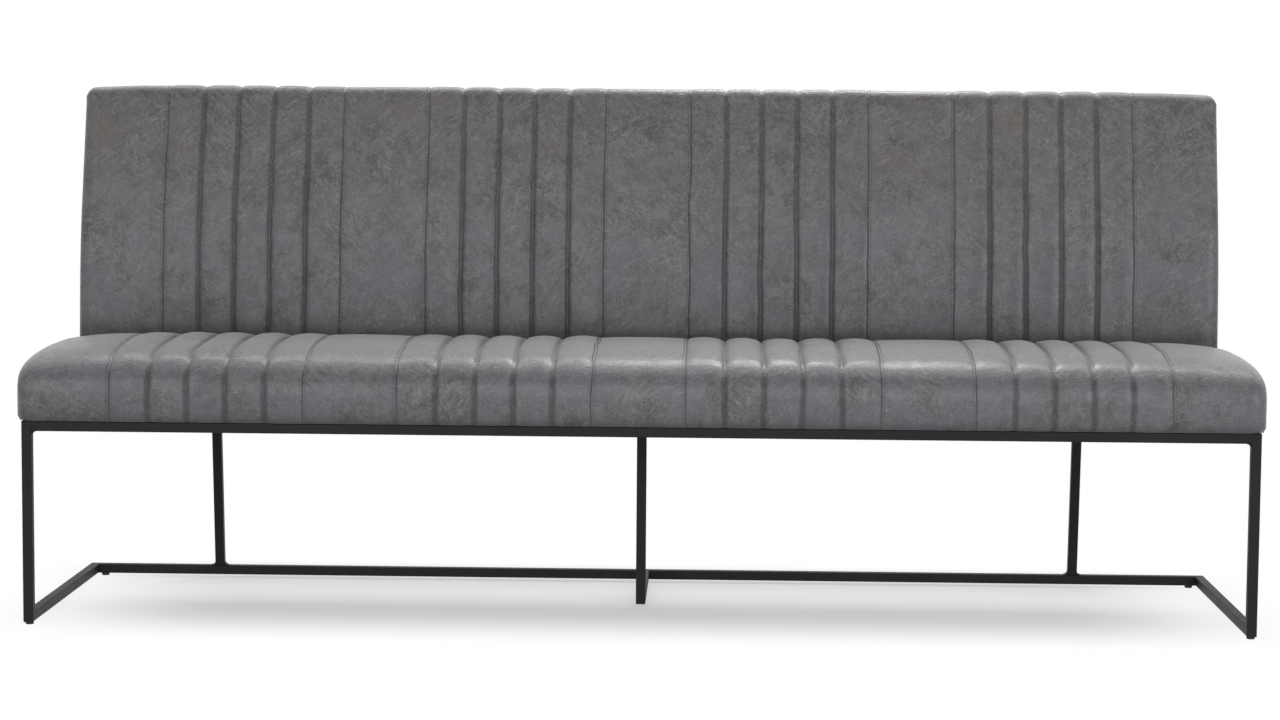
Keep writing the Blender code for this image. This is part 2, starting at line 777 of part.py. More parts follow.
def back_top_arc():
    """Rounded top edge of the backrest's front, from the face up to the level top, as (Y, Z) pairs."""
    centre_z = BACK_TOP - BACK_TOP_ROUND
    slope = back_slope(BACK_TOP)
    stretch = math.hypot(1.0, slope)
    contact_z = centre_z + BACK_TOP_ROUND * slope / stretch
    centre_y = back_face(contact_z) + BACK_TOP_ROUND / stretch
    lean = math.atan(slope)
    points = []
    for share in BACK_TOP_SHARES:
        angle = math.pi - lean - share * (math.pi / 2 - lean)
        y = centre_y + BACK_TOP_ROUND * math.cos(angle)
        points.append((y, centre_z + BACK_TOP_ROUND * math.sin(angle)))
    return points


def drawn_in(x, z):
    """X of a point on the backrest after its ends are pulled in, most at half height."""
    from_end = COVER_HALF - abs(x)
    near = max(0.0, 1.0 - from_end / BACK_END_DRAW_REACH)
    share = (z - COVER_BASE) / (BACK_TOP - COVER_BASE)
    pull = BACK_END_DRAW * near * 4 * share * (1 - share)
    return x - math.copysign(pull, x)


def back_section(x, rise):
    """Outline of the backrest cover at one column, bottom front first, then up and over the top."""
    from_end = COVER_HALF - abs(x)
    inset = BACK_END_ROUND * rounding(from_end, BACK_END_ROUND)
    sunk = inset + BACK_END_DROOP * drooping(from_end, BACK_END_DRAW_REACH)
    points = []
    face_top = BACK_TOP - BACK_TOP_ROUND
    for share in BACK_FACE_SHARES:
        z = COVER_BASE + share * (face_top - COVER_BASE)
        points.append((back_face(z) + inset - rise, z))
    lift = rise * BACK_TOP_LIFT - sunk
    for share, (y, z) in zip(BACK_TOP_SHARES, back_top_arc()):
        points.append((y + (inset - rise) * (1 - share), z + lift * share))
    rear_top = back_rear(BACK_TOP - BACK_REAR_ROUND)
    points.append((rear_top - BACK_REAR_ROUND, BACK_TOP - sunk))
    points.append((rear_top, BACK_TOP - BACK_REAR_ROUND - sunk))
    points.append((back_rear(COVER_BASE), COVER_BASE))
    return [(drawn_in(x, z), y, z) for y, z in points]


def back_inner_front(shrink):
    """Inner side of the backrest cover, from the board up to the top wall, as (Y, Z) pairs."""
    base = BOARD_TOP + shrink
    top = BACK_TOP - BACK_TOP_WALL - shrink
    face_top = BACK_TOP - BACK_TOP_ROUND - BACK_TOP_WALL
    points = []
    for share in BACK_FACE_SHARES:
        z = base + share * (face_top - base)
        points.append((back_face(z) + BACK_QUILT + shrink, z))
    points.append((back_face(top) + BACK_QUILT + BACK_TOP_ROUND / 2 + shrink, top))
    return points


def build_back_cover(parent):
    """Quilted backrest cover: front, top and ends, open behind and below."""
    sections = [back_section(x, rise) for x, rise in all_stations(BACK_END_ROUND)]
    cover = add_object("back_cover", loft_sections(sections), parent, LEATHER)
    inner = back_inner_front(0.0)
    inner[0] = (inner[0][0], BOARD_BASE)
    behind = back_rear(BACK_TOP) + BACK_BASE_DEPTH
    outline = inner + [(behind, inner[-1][1]), (behind, BOARD_BASE)]
    half = COVER_HALF - BACK_END_WALL
    cavity = add_object("back_cover_cavity", prism_shape(outline, -half, half), parent)
    apply_boolean(cover, cavity, "DIFFERENCE")
    cut_base_pocket(cover, parent)
    shade_round(cover)


def post_columns():
    """X of each post, from the left end to the right one."""
    reach = COVER_HALF - BACK_END_WALL - GAP - POST_WIDTH / 2
    return [float(x) for x in np.linspace(-reach, reach, POST_COUNT)]


def leaning_block(low, high, front_offset, depth):
    """Outline of a piece that leans with the rear of the backrest, as (Y, Z) pairs."""
    points = []
    for z, offset in ((low, 0.0), (high, 0.0), (high, depth), (low, depth)):
        points.append((timber_rear(z) - front_offset - offset, z))
    return points


def build_back_timber(parent):
    """Timber frame of the backrest with its thin plywood front."""
    half = COVER_HALF - BACK_END_WALL - GAP
    top = BACK_TOP - BACK_TOP_WALL - GAP
    base = BOARD_TOP + GAP
    lower_top = base + TIMBER_RAIL_HEIGHT
    upper_base = top - TIMBER_RAIL_HEIGHT
    clear = SCREW_DIAMETER / 2 + GAP
    lower = add_object(
        "back_bottom_rail",
        prism_shape(leaning_block(base, lower_top, 0.0, POST_DEPTH), -half, half),
        parent,
        PLYWOOD,
    )
    drill(lower, back_screw_places(), clear, BOARD_TOP, BOARD_TOP + BACK_SCREW_BITE + GAP, parent)
    upper = prism_shape(leaning_block(upper_base, top, 0.0, POST_DEPTH), -half, half)
    add_object("back_top_rail", upper, parent, PLYWOOD)
    post = leaning_block(lower_top + GAP, upper_base - GAP, 0.0, POST_DEPTH)
    for number, x in enumerate(post_columns(), start=1):
        shape = prism_shape(post, x - POST_WIDTH / 2, x + POST_WIDTH / 2)
        add_object(f"back_post_{number}", shape, parent, PLYWOOD)
    ply = leaning_block(base, top, POST_DEPTH + GAP, BACK_PLY_THICKNESS)
    add_object("back_panel", prism_shape(ply, -half, half), parent, PLYWOOD)


def build_back_foam(parent):
    """Foam between the plywood and the cover, thickest at the small of the back."""
    half = COVER_HALF - BACK_END_WALL - GAP
    front = back_inner_front(GAP)
    behind = POST_DEPTH + BACK_PLY_THICKNESS + 2 * GAP
    low = front[0][1]
    high = front[-1][1]
    outline = front + [(timber_rear(high) - behind, high), (timber_rear(low) - behind, low)]
    add_object("back_foam", prism_shape(outline, -half, half), parent, FOAM)


def build_rear_panel(parent):
    """Plain leather-covered panel in the opening behind the backrest, slightly crowned."""
    half = COVER_HALF - BACK_END_WALL - GAP
    low = COVER_BASE
    high = BACK_TOP - BACK_TOP_WALL - GAP
    middle = (low + high) / 2
    outline = []
    for z in (low, middle, high):
        outline.append((back_rear(z) - REAR_PANEL_THICKNESS, z))
    for z, crown in ((high, 0.0), (middle, REAR_PANEL_CROWN), (low, 0.0)):
        outline.append((back_rear(z) + crown, z))
    add_object("back_rear_panel", prism_shape(outline, -half, half), parent, LEATHER)


def centre_over_origin(parent):
    """Move the bench so that the middle of its box stands on the origin."""
    bpy.context.view_layer.update()
    low = math.inf
    high = -math.inf
    for item in parent.children:
        if item.hide_render:
            continue
        for vertex in item.data.vertices:
            low = min(low, vertex.co.y)
            high = max(high, vertex.co.y)
    parent.location.y = -(low + high) / 2
    bpy.context.view_layer.update()
    print(f"front legs' faces stand at Y = {parent.location.y:.6f}")


def main():
    """Build the whole bench."""
    clear_scene()
    parent = bpy.data.objects.new("kitchen_bench", None)
    bpy.context.scene.collection.objects.link(parent)
    build_seat_rails(parent)
    build_legs(parent)
    build_floor_tubes(parent)
    build_uprights(parent)
    build_glides(parent)
    build_seat_base(parent)
    build_screws(parent)
    build_seat(parent)
    build_back_cover(parent)
    build_back_timber(parent)
    build_back_foam(parent)
    build_rear_panel(parent)
    centre_over_origin(parent)


main()
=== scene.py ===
"""Dress the kitchen bench: a padded leather seat and back on a powder-coated tube frame.

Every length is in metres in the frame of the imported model: +X along the bench, +Y from the front
to the rear, +Z up. Local depths in the classes are counted from the front legs' faces.
"""
import logging
import math
from dataclasses import dataclass
from enum import Enum
from typing import Any, Optional, Sequence, Union

import bpy
import numpy as np
from mathutils import Matrix, Vector
from numpy.typing import NDArray


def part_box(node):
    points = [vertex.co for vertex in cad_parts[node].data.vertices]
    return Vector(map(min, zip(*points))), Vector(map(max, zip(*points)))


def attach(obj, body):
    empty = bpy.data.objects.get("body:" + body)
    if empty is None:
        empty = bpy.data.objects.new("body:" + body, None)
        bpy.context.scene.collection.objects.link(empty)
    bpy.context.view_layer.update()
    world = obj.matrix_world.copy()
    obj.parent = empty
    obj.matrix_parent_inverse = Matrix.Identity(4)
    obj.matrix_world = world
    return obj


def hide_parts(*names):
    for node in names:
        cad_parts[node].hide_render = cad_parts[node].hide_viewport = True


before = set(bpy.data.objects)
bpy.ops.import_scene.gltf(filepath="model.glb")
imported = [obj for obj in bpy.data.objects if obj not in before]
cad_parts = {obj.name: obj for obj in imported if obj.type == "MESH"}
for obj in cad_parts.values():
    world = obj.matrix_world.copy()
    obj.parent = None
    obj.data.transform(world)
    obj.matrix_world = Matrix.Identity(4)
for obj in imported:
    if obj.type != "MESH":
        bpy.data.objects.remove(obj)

LOG = logging.getLogger("kitchen_bench")
Array = NDArray[np.float64]
Colour = tuple[float, float, float, float]

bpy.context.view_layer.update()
FRONT_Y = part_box("front_leg_left")[0].y
BODY = "root"
IMAGE_WIDTH = 1280
CLEARANCE = 0.0003
CLOTH_PRESSURE = 4.0
CLOTH_FRAMES = 20
TINY = 1e-5
BLUR = (0.0625, 0.25, 0.375, 0.25, 0.0625)
SEED = 7


# Places in the frame


class Axis(Enum):
    """Direction in the frame, with its place in a point."""

    X = 0
    Y = 1
    Z = 2


def span(node: str, axis: Axis) -> tuple[float, float]:
    """Low and high end of a CAD node, to 0.01 mm.

    Args:
        node: the node's name.
        axis: the direction; depths along Y are counted from the front legs' faces.

    Returns:
        The two ends.
    """
    start = FRONT_Y if axis is Axis.Y else 0.0
    low, high = (round(corner[axis.value] - start, 5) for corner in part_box(node))
    return low, high


# Node trees


class Bands(Enum):
    """Direction across which the bands of a wave lie."""

    ALONG = "X"
    DEEP = "Y"
    SLANTED = "DIAGONAL"


class Value:
    """One number in a node tree, so that maths on it reads as Python."""

    def __init__(self, nodes: "Nodes", socket: bpy.types.NodeSocket) -> None:
        """Wrap a socket of the given tree."""
        self.nodes = nodes
        self.socket = socket

    def _math(self, operation: str, *terms: Union["Value", float]) -> "Value":
        """Add one Math node.

        Args:
            operation: the node's operation.
            terms: its inputs in order.

        Returns:
            The node's result.
        """
        return self.nodes.value("ShaderNodeMath", {"operation": operation}, dict(enumerate(terms)))

    def __add__(self, other: Union["Value", float]) -> "Value":
        """Sum."""
        return self._math("ADD", self, other)

    def __radd__(self, other: float) -> "Value":
        """Sum with a number on the left."""
        return self._math("ADD", other, self)

    def __sub__(self, other: Union["Value", float]) -> "Value":
        """Difference."""
        return self._math("SUBTRACT", self, other)

    def __rsub__(self, other: float) -> "Value":
        """Difference with a number on the left."""
        return self._math("SUBTRACT", other, self)

    def __mul__(self, other: Union["Value", float]) -> "Value":
        """Product."""
        return self._math("MULTIPLY", self, other)

    def __rmul__(self, other: float) -> "Value":
        """Product with a number on the left."""
        return self._math("MULTIPLY", other, self)

    def __pow__(self, other: Union["Value", float]) -> "Value":
        """Power."""
        return self._math("POWER", self, other)

    def __abs__(self) -> "Value":
        """Absolute value."""
        return self._math("ABSOLUTE", self)

    def at_least(self, other: Union["Value", float]) -> "Value":
        """The larger of the two."""
        return self._math("MAXIMUM", self, other)

    def step(self, low: float, high: float) -> "Value":
        """Smooth step from 0 at low to 1 at high, or falling where low is the larger."""
        settings = {"interpolation_type": "SMOOTHSTEP"}
        return self.nodes.value("ShaderNodeMapRange", settings, {0: self, 1: low, 2: high, 3: 0.0, 4: 1.0})


Link = Union[Value, bpy.types.NodeSocket]


class Nodes:
    """Adds nodes to one tree."""

    def __init__(self, tree: bpy.types.NodeTree) -> None:
        """Work on the given tree."""
        self.tree = tree

    def node(
        self,
        kind: str,
        settings: Optional[dict[str, Any]] = None,
        sockets: Optional[dict[Union[str, int], Any]] = None,
    ) -> bpy.types.Node:
        """Add any node.

        Args:
            kind: the node's type.
            settings: its properties, set first.
            sockets: values or links of its inputs, by name or place.

        Returns:
            The new node.
        """
        made = self.tree.nodes.new(kind)
        for key, setting in (settings or {}).items():
            setattr(made, key, setting)
        self.feed(made, sockets or {})
        return made

    def feed(self, made: bpy.types.Node, sockets: dict[Union[str, int], Any]) -> None:
        """Set or link inputs of a node.

        Args:
            made: the node.
            sockets: values or links, by the input's name or place.
        """
        for key, value in sockets.items():
            source = value.socket if isinstance(value, Value) else value
            if isinstance(source, bpy.types.NodeSocket):
                self.tree.links.new(source, made.inputs[key])
            else:
                made.inputs[key].default_value = source

    def value(
        self,
        kind: str,
        settings: Optional[dict[str, Any]] = None,
        sockets: Optional[dict[Union[str, int], Any]] = None,
        output: Union[str, int] = 0,
    ) -> Value:
        """Add any node and wrap one of its outputs as a number."""
        return Value(self, self.node(kind, settings, sockets).outputs[output])

    def mix(self, factor: Union[Link, float], first: Any, second: Any) -> bpy.types.NodeSocket:
        """Mix two colours.

        Args:
            factor: share of the second colour.
            first: colour or link.
            second: colour or link.

        Returns:
            The mixed colour's socket.
        """
        sockets = {0: factor, 6: first, 7: second}
        return self.node("ShaderNodeMix", {"data_type": "RGBA"}, sockets).outputs[2]

    def place(self, turn: Sequence[float] = (0, 0, 0), stretch: float = 1.0) -> bpy.types.NodeSocket:
        """Object coordinates for a pattern that is drawn out along X and then turned.

        Args:
            turn: rotation of the pattern.
            stretch: how far it is drawn out.

        Returns:
            The coordinates' socket.
        """
        origin = self.node("ShaderNodeTexCoord").outputs["Object"]
        sockets = {"Vector": origin, "Rotation": turn, "Scale": (stretch, 1.0, 1.0)}
        return self.node("ShaderNodeMapping", {"vector_type": "TEXTURE"}, sockets).outputs[0]

    def axis(self, axis: Axis) -> Value:
        """Object coordinate along one axis."""
        return self.value("ShaderNodeSeparateXYZ", None, {0: self.place()}, axis.value)

    def noise(
        self,
        where: bpy.types.NodeSocket,
        scale: float,
        detail: float = 3.0,
        warp: float = 0.0,
        rough: float = 0.5,
    ) -> Value:
        """Fractal noise, about 0.5 on average.

        Args:
            where: coordinates.
            scale: features per metre.
            detail: octaves.
            warp: the node's distortion.
            rough: how strong each octave is against the one before.

        Returns:
            The noise.
        """
        sockets = {"Vector": where, "Scale": scale, "Detail": detail, "Distortion": warp, "Roughness": rough}
        return self.value("ShaderNodeTexNoise", None, sockets)

    def wave(self, bands: Bands, scale: float) -> Value:
        """Sine bands on object coordinates."""
        sockets = {"Vector": self.place(), "Scale": scale}
        return self.value("ShaderNodeTexWave", {"bands_direction": bands.value}, sockets, "Fac")

    def attribute(self, name: str) -> Value:
        """A number that the mesh stores at its points."""
        return self.value("ShaderNodeAttribute", {"attribute_name": name}, None, "Fac")


# Finishes


@dataclass(frozen=True)
class Finish:
    """A material that covers a piece; each finish paints its own shader."""

    name: str

    def paint(self, nodes: Nodes, shader: bpy.types.Node) -> None:
        """Set up the Principled shader of this finish."""
        raise NotImplementedError

    def material(self) -> bpy.types.Material:
        """The finish's material, made once.

        Returns:
            The material.
        """
        found = bpy.data.materials.get(self.name)
        if found:
            return found
        made = bpy.data.materials.new(self.name)
        made.use_nodes = True
        nodes = Nodes(made.node_tree)
        self.paint(nodes, made.node_tree.nodes["Principled BSDF"])
        return made

    def cover(self, piece: bpy.types.Object) -> None:
        """Make this the piece's only material."""
        piece.data.materials.clear()
        piece.data.materials.append(self.material())

    @staticmethod
    def join(nodes: Nodes, shader: bpy.types.Node, **sockets: Any) -> None:
        """Set or link the shader's sockets; underscores in the names stand for spaces."""
        nodes.feed(shader, {key.replace("_", " "): value for key, value in sockets.items()})

    @staticmethod
    def bump(nodes: Nodes, height: Value, depth: float, strength: float) -> bpy.types.NodeSocket:
        """Normal of a surface raised by height times depth in metres."""
        sockets = {"Height": height, "Distance": depth, "Strength": strength}
        return nodes.node("ShaderNodeBump", None, sockets).outputs["Normal"]


@dataclass(frozen=True)
class Marks:
    """One direction of the leather's marks: turned, drawn out, and so many per metre across."""

    turn: tuple[float, float, float]
    stretch: float
    scale: float
    share: float = 1.0


@dataclass(frozen=True)
class WornLeather(Finish):
    """Grey leather with cloudy colour, pale creases, painted shade in its seams and a satin sheen.

    The colour is a mix of a dark and a light grey by noise of about equal contrast at every size
    from 60 mm to 1 mm and by hair-like strokes. It is tinted warm high up and cool low down in
    patches and lightened along a crackle of fine lines and on the channels' shoulders, there partly as
    rubbing wear and partly as a painted highlight. Painted shade darkens it where the seam attribute
    is 1: in the seams, towards the seat's hem and at the foot of the back.
    """

    dark: Colour = (0.0560, 0.0545, 0.0570, 1.0)
    light: Colour = (0.138, 0.1345, 0.1385, 1.0)
    warm: Colour = (0.105, 0.0955, 0.088, 1.0)
    cool: Colour = (0.098, 0.0965, 0.1125, 1.0)
    # pale colour of the creases, also of the painted highlight on the worn channel shoulders
    crease_and_highlight: Colour = (0.215, 0.2095, 0.2115, 1.0)
    # near-black colour of the painted shade in the seams, towards the seat's hem and at the foot of the back
    seam: Colour = (0.010, 0.010, 0.011, 1.0)
    strokes: tuple[Marks, Marks, Marks] = (
        Marks((0.0, -0.5, 0.3), 5.0, 195.0),
        Marks((0.0, 0.6, -0.5), 4.5, 215.0),
        Marks((0.0, 1.35, 0.8), 4.0, 180.0, 0.7),
    )
    creases: tuple[Marks, Marks, Marks] = (
        Marks((0.0, -0.55, 0.3), 3.4, 150.0),
        Marks((0.0, 0.5, -0.4), 3.0, 170.0),
        Marks((0.0, -1.1, 0.7), 1.8, 230.0, 0.7),
    )
    cool_below: float = 0.60
    warm_above: float = 0.95
    crease_share: float = 0.44
    rub_highlight_share: float = 0.06
    relief: float = 0.0010

    def crackle(self, nodes: Nodes, marks: Marks) -> Value:
        """Fine pale lines along the edges of warped, stretched cells, kept only in patches.

        Args:
            nodes: the tree.
            marks: direction and size of the cells.

        Returns:
            The marks' share on the lines and 0 between them.
        """
        where = nodes.place(marks.turn, marks.stretch)
        loose = {"Vector": where, "Scale": marks.scale * 0.7, "Detail": 3.0}
        drift = nodes.node("ShaderNodeTexNoise", None, loose).outputs["Color"]
        shift = {0: drift, 1: (1.1 / marks.scale,) * 3, 2: where}
        bent = nodes.node("ShaderNodeVectorMath", {"operation": "MULTIPLY_ADD"}, shift).outputs[0]
        sockets = {"Vector": bent, "Scale": marks.scale}
        cells = nodes.value("ShaderNodeTexVoronoi", {"feature": "DISTANCE_TO_EDGE"}, sockets, "Distance")
        kept = nodes.noise(where, marks.scale * 0.45, 2.0).step(0.42, 0.60)
        return cells.step(0.11, 0.0) * kept * marks.share

    def stroke(self, nodes: Nodes, marks: Marks) -> Value:
        """Soft hair-like strokes: the peaks of noise that is drawn out in one direction."""
        where = nodes.place(marks.turn, marks.stretch)
        return nodes.noise(where, marks.scale, 2.0, 0.8).step(0.50, 0.74) * marks.share

    def tint(self, nodes: Nodes, colour: bpy.types.NodeSocket) -> bpy.types.NodeSocket:
        """Tint a colour in patches by its height.

        Args:
            nodes: the tree.
            colour: the grey.

        Returns:
            The tinted colour's socket.
        """
        here = nodes.place()
        high = nodes.axis(Axis.Z).step(self.cool_below, self.warm_above)
        warm = nodes.noise(here, 9.0, 4.0, 0.5).step(0.42, 0.70) * (0.12 + high * 0.75)
        cool = nodes.noise(here, 11.0, 4.0).step(0.36, 0.62) * (1 - high) * 0.75
        return nodes.mix(cool, nodes.mix(warm, colour, self.warm), self.cool)

    def paint(self, nodes: Nodes, shader: bpy.types.Node) -> None:
        """Set up the leather's shader.

        Args:
            nodes: the material's tree.
            shader: its Principled node.
        """
        here = nodes.place()
        cloud = nodes.noise(here, 4.0, 3.0, 0.4)
        mottle = nodes.noise(here, 22.0, 6.0, 0.4, 0.9) - 0.5
        grain = nodes.noise(here, 420.0, 2.0)
        patch = nodes.noise(here, 8.0, 2.0).step(0.44, 0.56)
        rising, falling, steep = (self.stroke(nodes, marks) for marks in self.strokes)
        drawn = rising * patch + falling * (1 - patch) + steep
        tone = 0.28 + (cloud - 0.5) * 0.5 + mottle * 3.5 + (grain - 0.5) * 0.9 + drawn * 0.78
        colour = self.tint(nodes, nodes.mix(tone, self.dark, self.light))
        rising, falling, short = (self.crackle(nodes, marks) for marks in self.creases)
        lines = (rising * patch).at_least(falling * (1 - patch)).at_least(short)
        colour = nodes.mix(lines * self.crease_share, colour, self.crease_and_highlight)
        # paler channel shoulders: partly rubbing wear, partly a painted highlight
        colour = nodes.mix(nodes.attribute("rub_and_highlight") * self.rub_highlight_share, colour, self.crease_and_highlight)
        # painted shade: in the seams, towards the seat's hem and at the foot of the back
        colour = nodes.mix(nodes.attribute("seam"), colour, self.seam)
        relief = grain * 0.5 + mottle * 0.8 + drawn * 0.75 + lines * 0.45
        self.join(
            nodes,
            shader,
            Base_Color=colour,
            Roughness=0.56 + mottle * 0.7 - drawn * 0.12,
            Specular_IOR_Level=0.26,
            Coat_Weight=0.18 + mottle * 0.9,
            Coat_Roughness=0.20,
            Sheen_Weight=0.34,
            Sheen_Roughness=0.45,
            Normal=self.bump(nodes, relief, self.relief, 0.6),
        )


@dataclass(frozen=True)
class PowderCoat(Finish):
    """Black satin powder coat: a fine orange peel with slight changes of sheen."""

    colour: Colour = (0.0065, 0.0060, 0.0080, 1.0)
    dusty: Colour = (0.011, 0.0103, 0.0130, 1.0)

    def paint(self, nodes: Nodes, shader: bpy.types.Node) -> None:
        """Set up the coat's shader.

        Args:
            nodes: the material's tree.
            shader: its Principled node.
        """
        here = nodes.place()
        cloud = nodes.noise(here, 14.0, 4.0)
        peel = nodes.noise(here, 1400.0, 1.0)
        colour = nodes.mix(cloud.step(0.35, 0.75), self.colour, self.dusty)
        rough = 0.52 + (cloud - 0.5) * 0.18 + (peel - 0.5) * 0.08
        normal = self.bump(nodes, peel, 0.0002, 0.35)
        self.join(nodes, shader, Base_Color=colour, Roughness=rough, Normal=normal, Specular_IOR_Level=0.17)


@dataclass(frozen=True)
class GlidePlastic(Finish):
    """Moulded black plastic, scuffed paler near the floor."""

    colour: Colour = (0.012, 0.012, 0.012, 1.0)
    scuffed: Colour = (0.045, 0.044, 0.042, 1.0)
    scuff_height: float = 0.003

    def paint(self, nodes: Nodes, shader: bpy.types.Node) -> None:
        """Set up the plastic's shader.

        Args:
            nodes: the material's tree.
            shader: its Principled node.
        """
        here = nodes.place()
        speck = nodes.noise(here, 900.0, 3.0)
        scuff = nodes.axis(Axis.Z).step(self.scuff_height, 0.0) * speck.step(0.45, 0.6)
        colour = nodes.mix(scuff * 0.7, self.colour, self.scuffed)
        normal = self.bump(nodes, speck, 0.0002, 0.3)
        self.join(nodes, shader, Base_Color=colour, Roughness=0.5 + scuff * 0.2, Normal=normal)


@dataclass(frozen=True)
class BarePly(Finish):
    """Plywood and timber: long grain along X with paler and darker bands, stained black near the ends."""

    pale: Colour = (0.58, 0.43, 0.26, 1.0)
    dark: Colour = (0.36, 0.23, 0.12, 1.0)
    stain: Colour = (0.020, 0.019, 0.020, 1.0)
    stain_start: float = 1.080
    stain_full: float = 1.088

    def paint(self, nodes: Nodes, shader: bpy.types.Node) -> None:
        """Set up the wood's shader.

        Args:
            nodes: the material's tree.
            shader: its Principled node.
        """
        fibre = nodes.noise(nodes.place(stretch=16.0), 160.0, 4.0, 0.3)
        band = nodes.noise(nodes.place(stretch=6.5), 14.0, 2.0, 1.2)
        colour = nodes.mix(fibre * 0.6 + band * 0.5 - 0.05, self.pale, self.dark)
        stained = abs(nodes.axis(Axis.X)).step(self.stain_start, self.stain_full)
        colour = nodes.mix(stained, colour, self.stain)
        normal = self.bump(nodes, fibre, 0.0003, 0.4)
        self.join(nodes, shader, Base_Color=colour, Roughness=0.62 + fibre * 0.15, Normal=normal)


@dataclass(frozen=True)
class LiningCloth(Finish):
    """Thin black bonded cloth with a fine woven relief."""

    colour: Colour = (0.014, 0.014, 0.015, 1.0)
    worn: Colour = (0.040, 0.040, 0.041, 1.0)
    threads: float = 190.0

    def paint(self, nodes: Nodes, shader: bpy.types.Node) -> None:
        """Set up the cloth's shader.

        Args:
            nodes: the material's tree.
            shader: its Principled node.
        """
        weave = (nodes.wave(Bands.ALONG, self.threads) + nodes.wave(Bands.DEEP, self.threads)) * 0.5
        fluff = nodes.noise(nodes.place(), 60.0, 4.0)
        colour = nodes.mix(fluff * 0.6 + weave * 0.3 - 0.2, self.colour, self.worn)
        normal = self.bump(nodes, weave, 0.0003, 0.5)
        self.join(nodes, shader, Base_Color=colour, Roughness=0.9 - weave * 0.08, Normal=normal)


@dataclass(frozen=True)
class ZincPlate(Finish):
    """Zinc-plated steel, brushed by handling."""

    colour: Colour = (0.55, 0.55, 0.53, 1.0)
    dull: Colour = (0.38, 0.38, 0.36, 1.0)

    def paint(self, nodes: Nodes, shader: bpy.types.Node) -> None:
        """Set up the plating's shader.

        Args:
            nodes: the material's tree.
            shader: its Principled node.
        """
        cloud = nodes.noise(nodes.place(), 420.0, 4.0)
        colour = nodes.mix(cloud.step(0.4, 0.65), self.colour, self.dull)
        normal = self.bump(nodes, cloud, 0.0001, 0.3)
        self.join(nodes, shader, Base_Color=colour, Roughness=0.28 + cloud * 0.2, Metallic=1.0, Normal=normal)


@dataclass(frozen=True)
class Thread(Finish):
    """Dark grey sewing thread with a twisted relief and a painted highlight on the twists."""

    colour: Colour = (0.018, 0.018, 0.019, 1.0)
    lit: Colour = (0.045, 0.045, 0.047, 1.0)
    twists: float = 700.0

    def paint(self, nodes: Nodes, shader: bpy.types.Node) -> None:
        """Set up the thread's shader.

        Args:
            nodes: the material's tree.
            shader: its Principled node.
        """
        twist = nodes.wave(Bands.SLANTED, self.twists)
        # the lit colour on the twists is a painted highlight
        colour = nodes.mix(twist, self.colour, self.lit)
        normal = self.bump(nodes, twist, 0.0002, 0.5)
        self.join(nodes, shader, Base_Color=colour, Roughness=0.7 - twist * 0.1, Normal=normal)


LEATHER = WornLeather("worn_grey_leather")
COAT = PowderCoat("black_powder_coat")
GLIDE = GlidePlastic("black_glide_plastic")
PLY = BarePly("bare_plywood")
LINING = LiningCloth("black_lining_cloth")
ZINC = ZincPlate("zinc_plated_screw")
THREAD = Thread("grey_sewing_thread")


# Mesh arrays


def mesh_piece(name: str, points: Array, faces: list[NDArray[np.int64]]) -> bpy.types.Object:
    """Make an object at the origin from arrays of points and faces.

    Args:
        name: the piece's name.
        points: an (n, 3) array.
        faces: index arrays of quads or triangles.

    Returns:
        The new object, shaded smooth.
    """
    mesh = bpy.data.meshes.new(name)
    mesh.from_pydata(points.tolist(), [], [face for block in faces for face in block.tolist()])
    mesh.validate()
    mesh.shade_smooth()
    piece = bpy.data.objects.new(name, mesh)
    bpy.context.scene.collection.objects.link(piece)
    return piece


def ring_quads(rings: int, count: int, start: int = 0) -> NDArray[np.int64]:
    """Quads between neighbouring closed rings of equal count.

    Args:
        rings: number of rings.
        count: points in each ring.
        start: index of the first point.

    Returns:
        An (n, 4) index array.
    """
    row = np.arange(rings - 1)[:, None] * count + start
    here = np.arange(count)[None, :]
    after = (here + 1) % count
    return np.stack([row + here, row + after, row + count + after, row + count + here], -1).reshape(-1, 4)


def closed_loft(name: str, rings: Array) -> bpy.types.Object:
    """Skin a stack of closed rings and close both ends with a fan to the end ring's middle.

    The signed volume, the sum of a . (b x c) over the faces' triangles, tells whether the faces
    point out, and turns them round if they don't.

    Args:
        name: the piece's name.
        rings: an (n, m, 3) array.

    Returns:
        The new object.
    """
    number, count = rings.shape[:2]
    poles = rings[[0, -1]].mean(axis=1)
    points = np.concatenate([rings.reshape(-1, 3), poles])
    quads = ring_quads(number, count)
    here = np.arange(count)
    after = (here + 1) % count
    first = np.stack([np.full(count, number * count), after, here], -1)
    top = (number - 1) * count
    last = np.stack([np.full(count, number * count + 1), here + top, after + top], -1)
    triangles = np.concatenate([quads[:, [0, 1, 2]], quads[:, [0, 2, 3]], first, last])
    a, b, c = (points[triangles[:, k]] for k in range(3))
    if np.einsum("ij,ij->i", a, np.cross(b, c)).sum() < 0:
        quads, first, last = quads[:, ::-1], first[:, ::-1], last[:, ::-1]
    return mesh_piece(name, points, [quads, first, last])


def store(piece: bpy.types.Object, name: str, values: Array) -> None:
    """Store a number at each point of a piece.

    Args:
        piece: the piece.
        name: the attribute's name.
        values: numbers of the first points; the others get 0.
    """
    layer = piece.data.attributes.new(name, "FLOAT", "POINT")
    padded = np.zeros(len(piece.data.vertices), np.float32)
    padded[: values.size] = values.ravel()
    layer.data.foreach_set("value", padded)


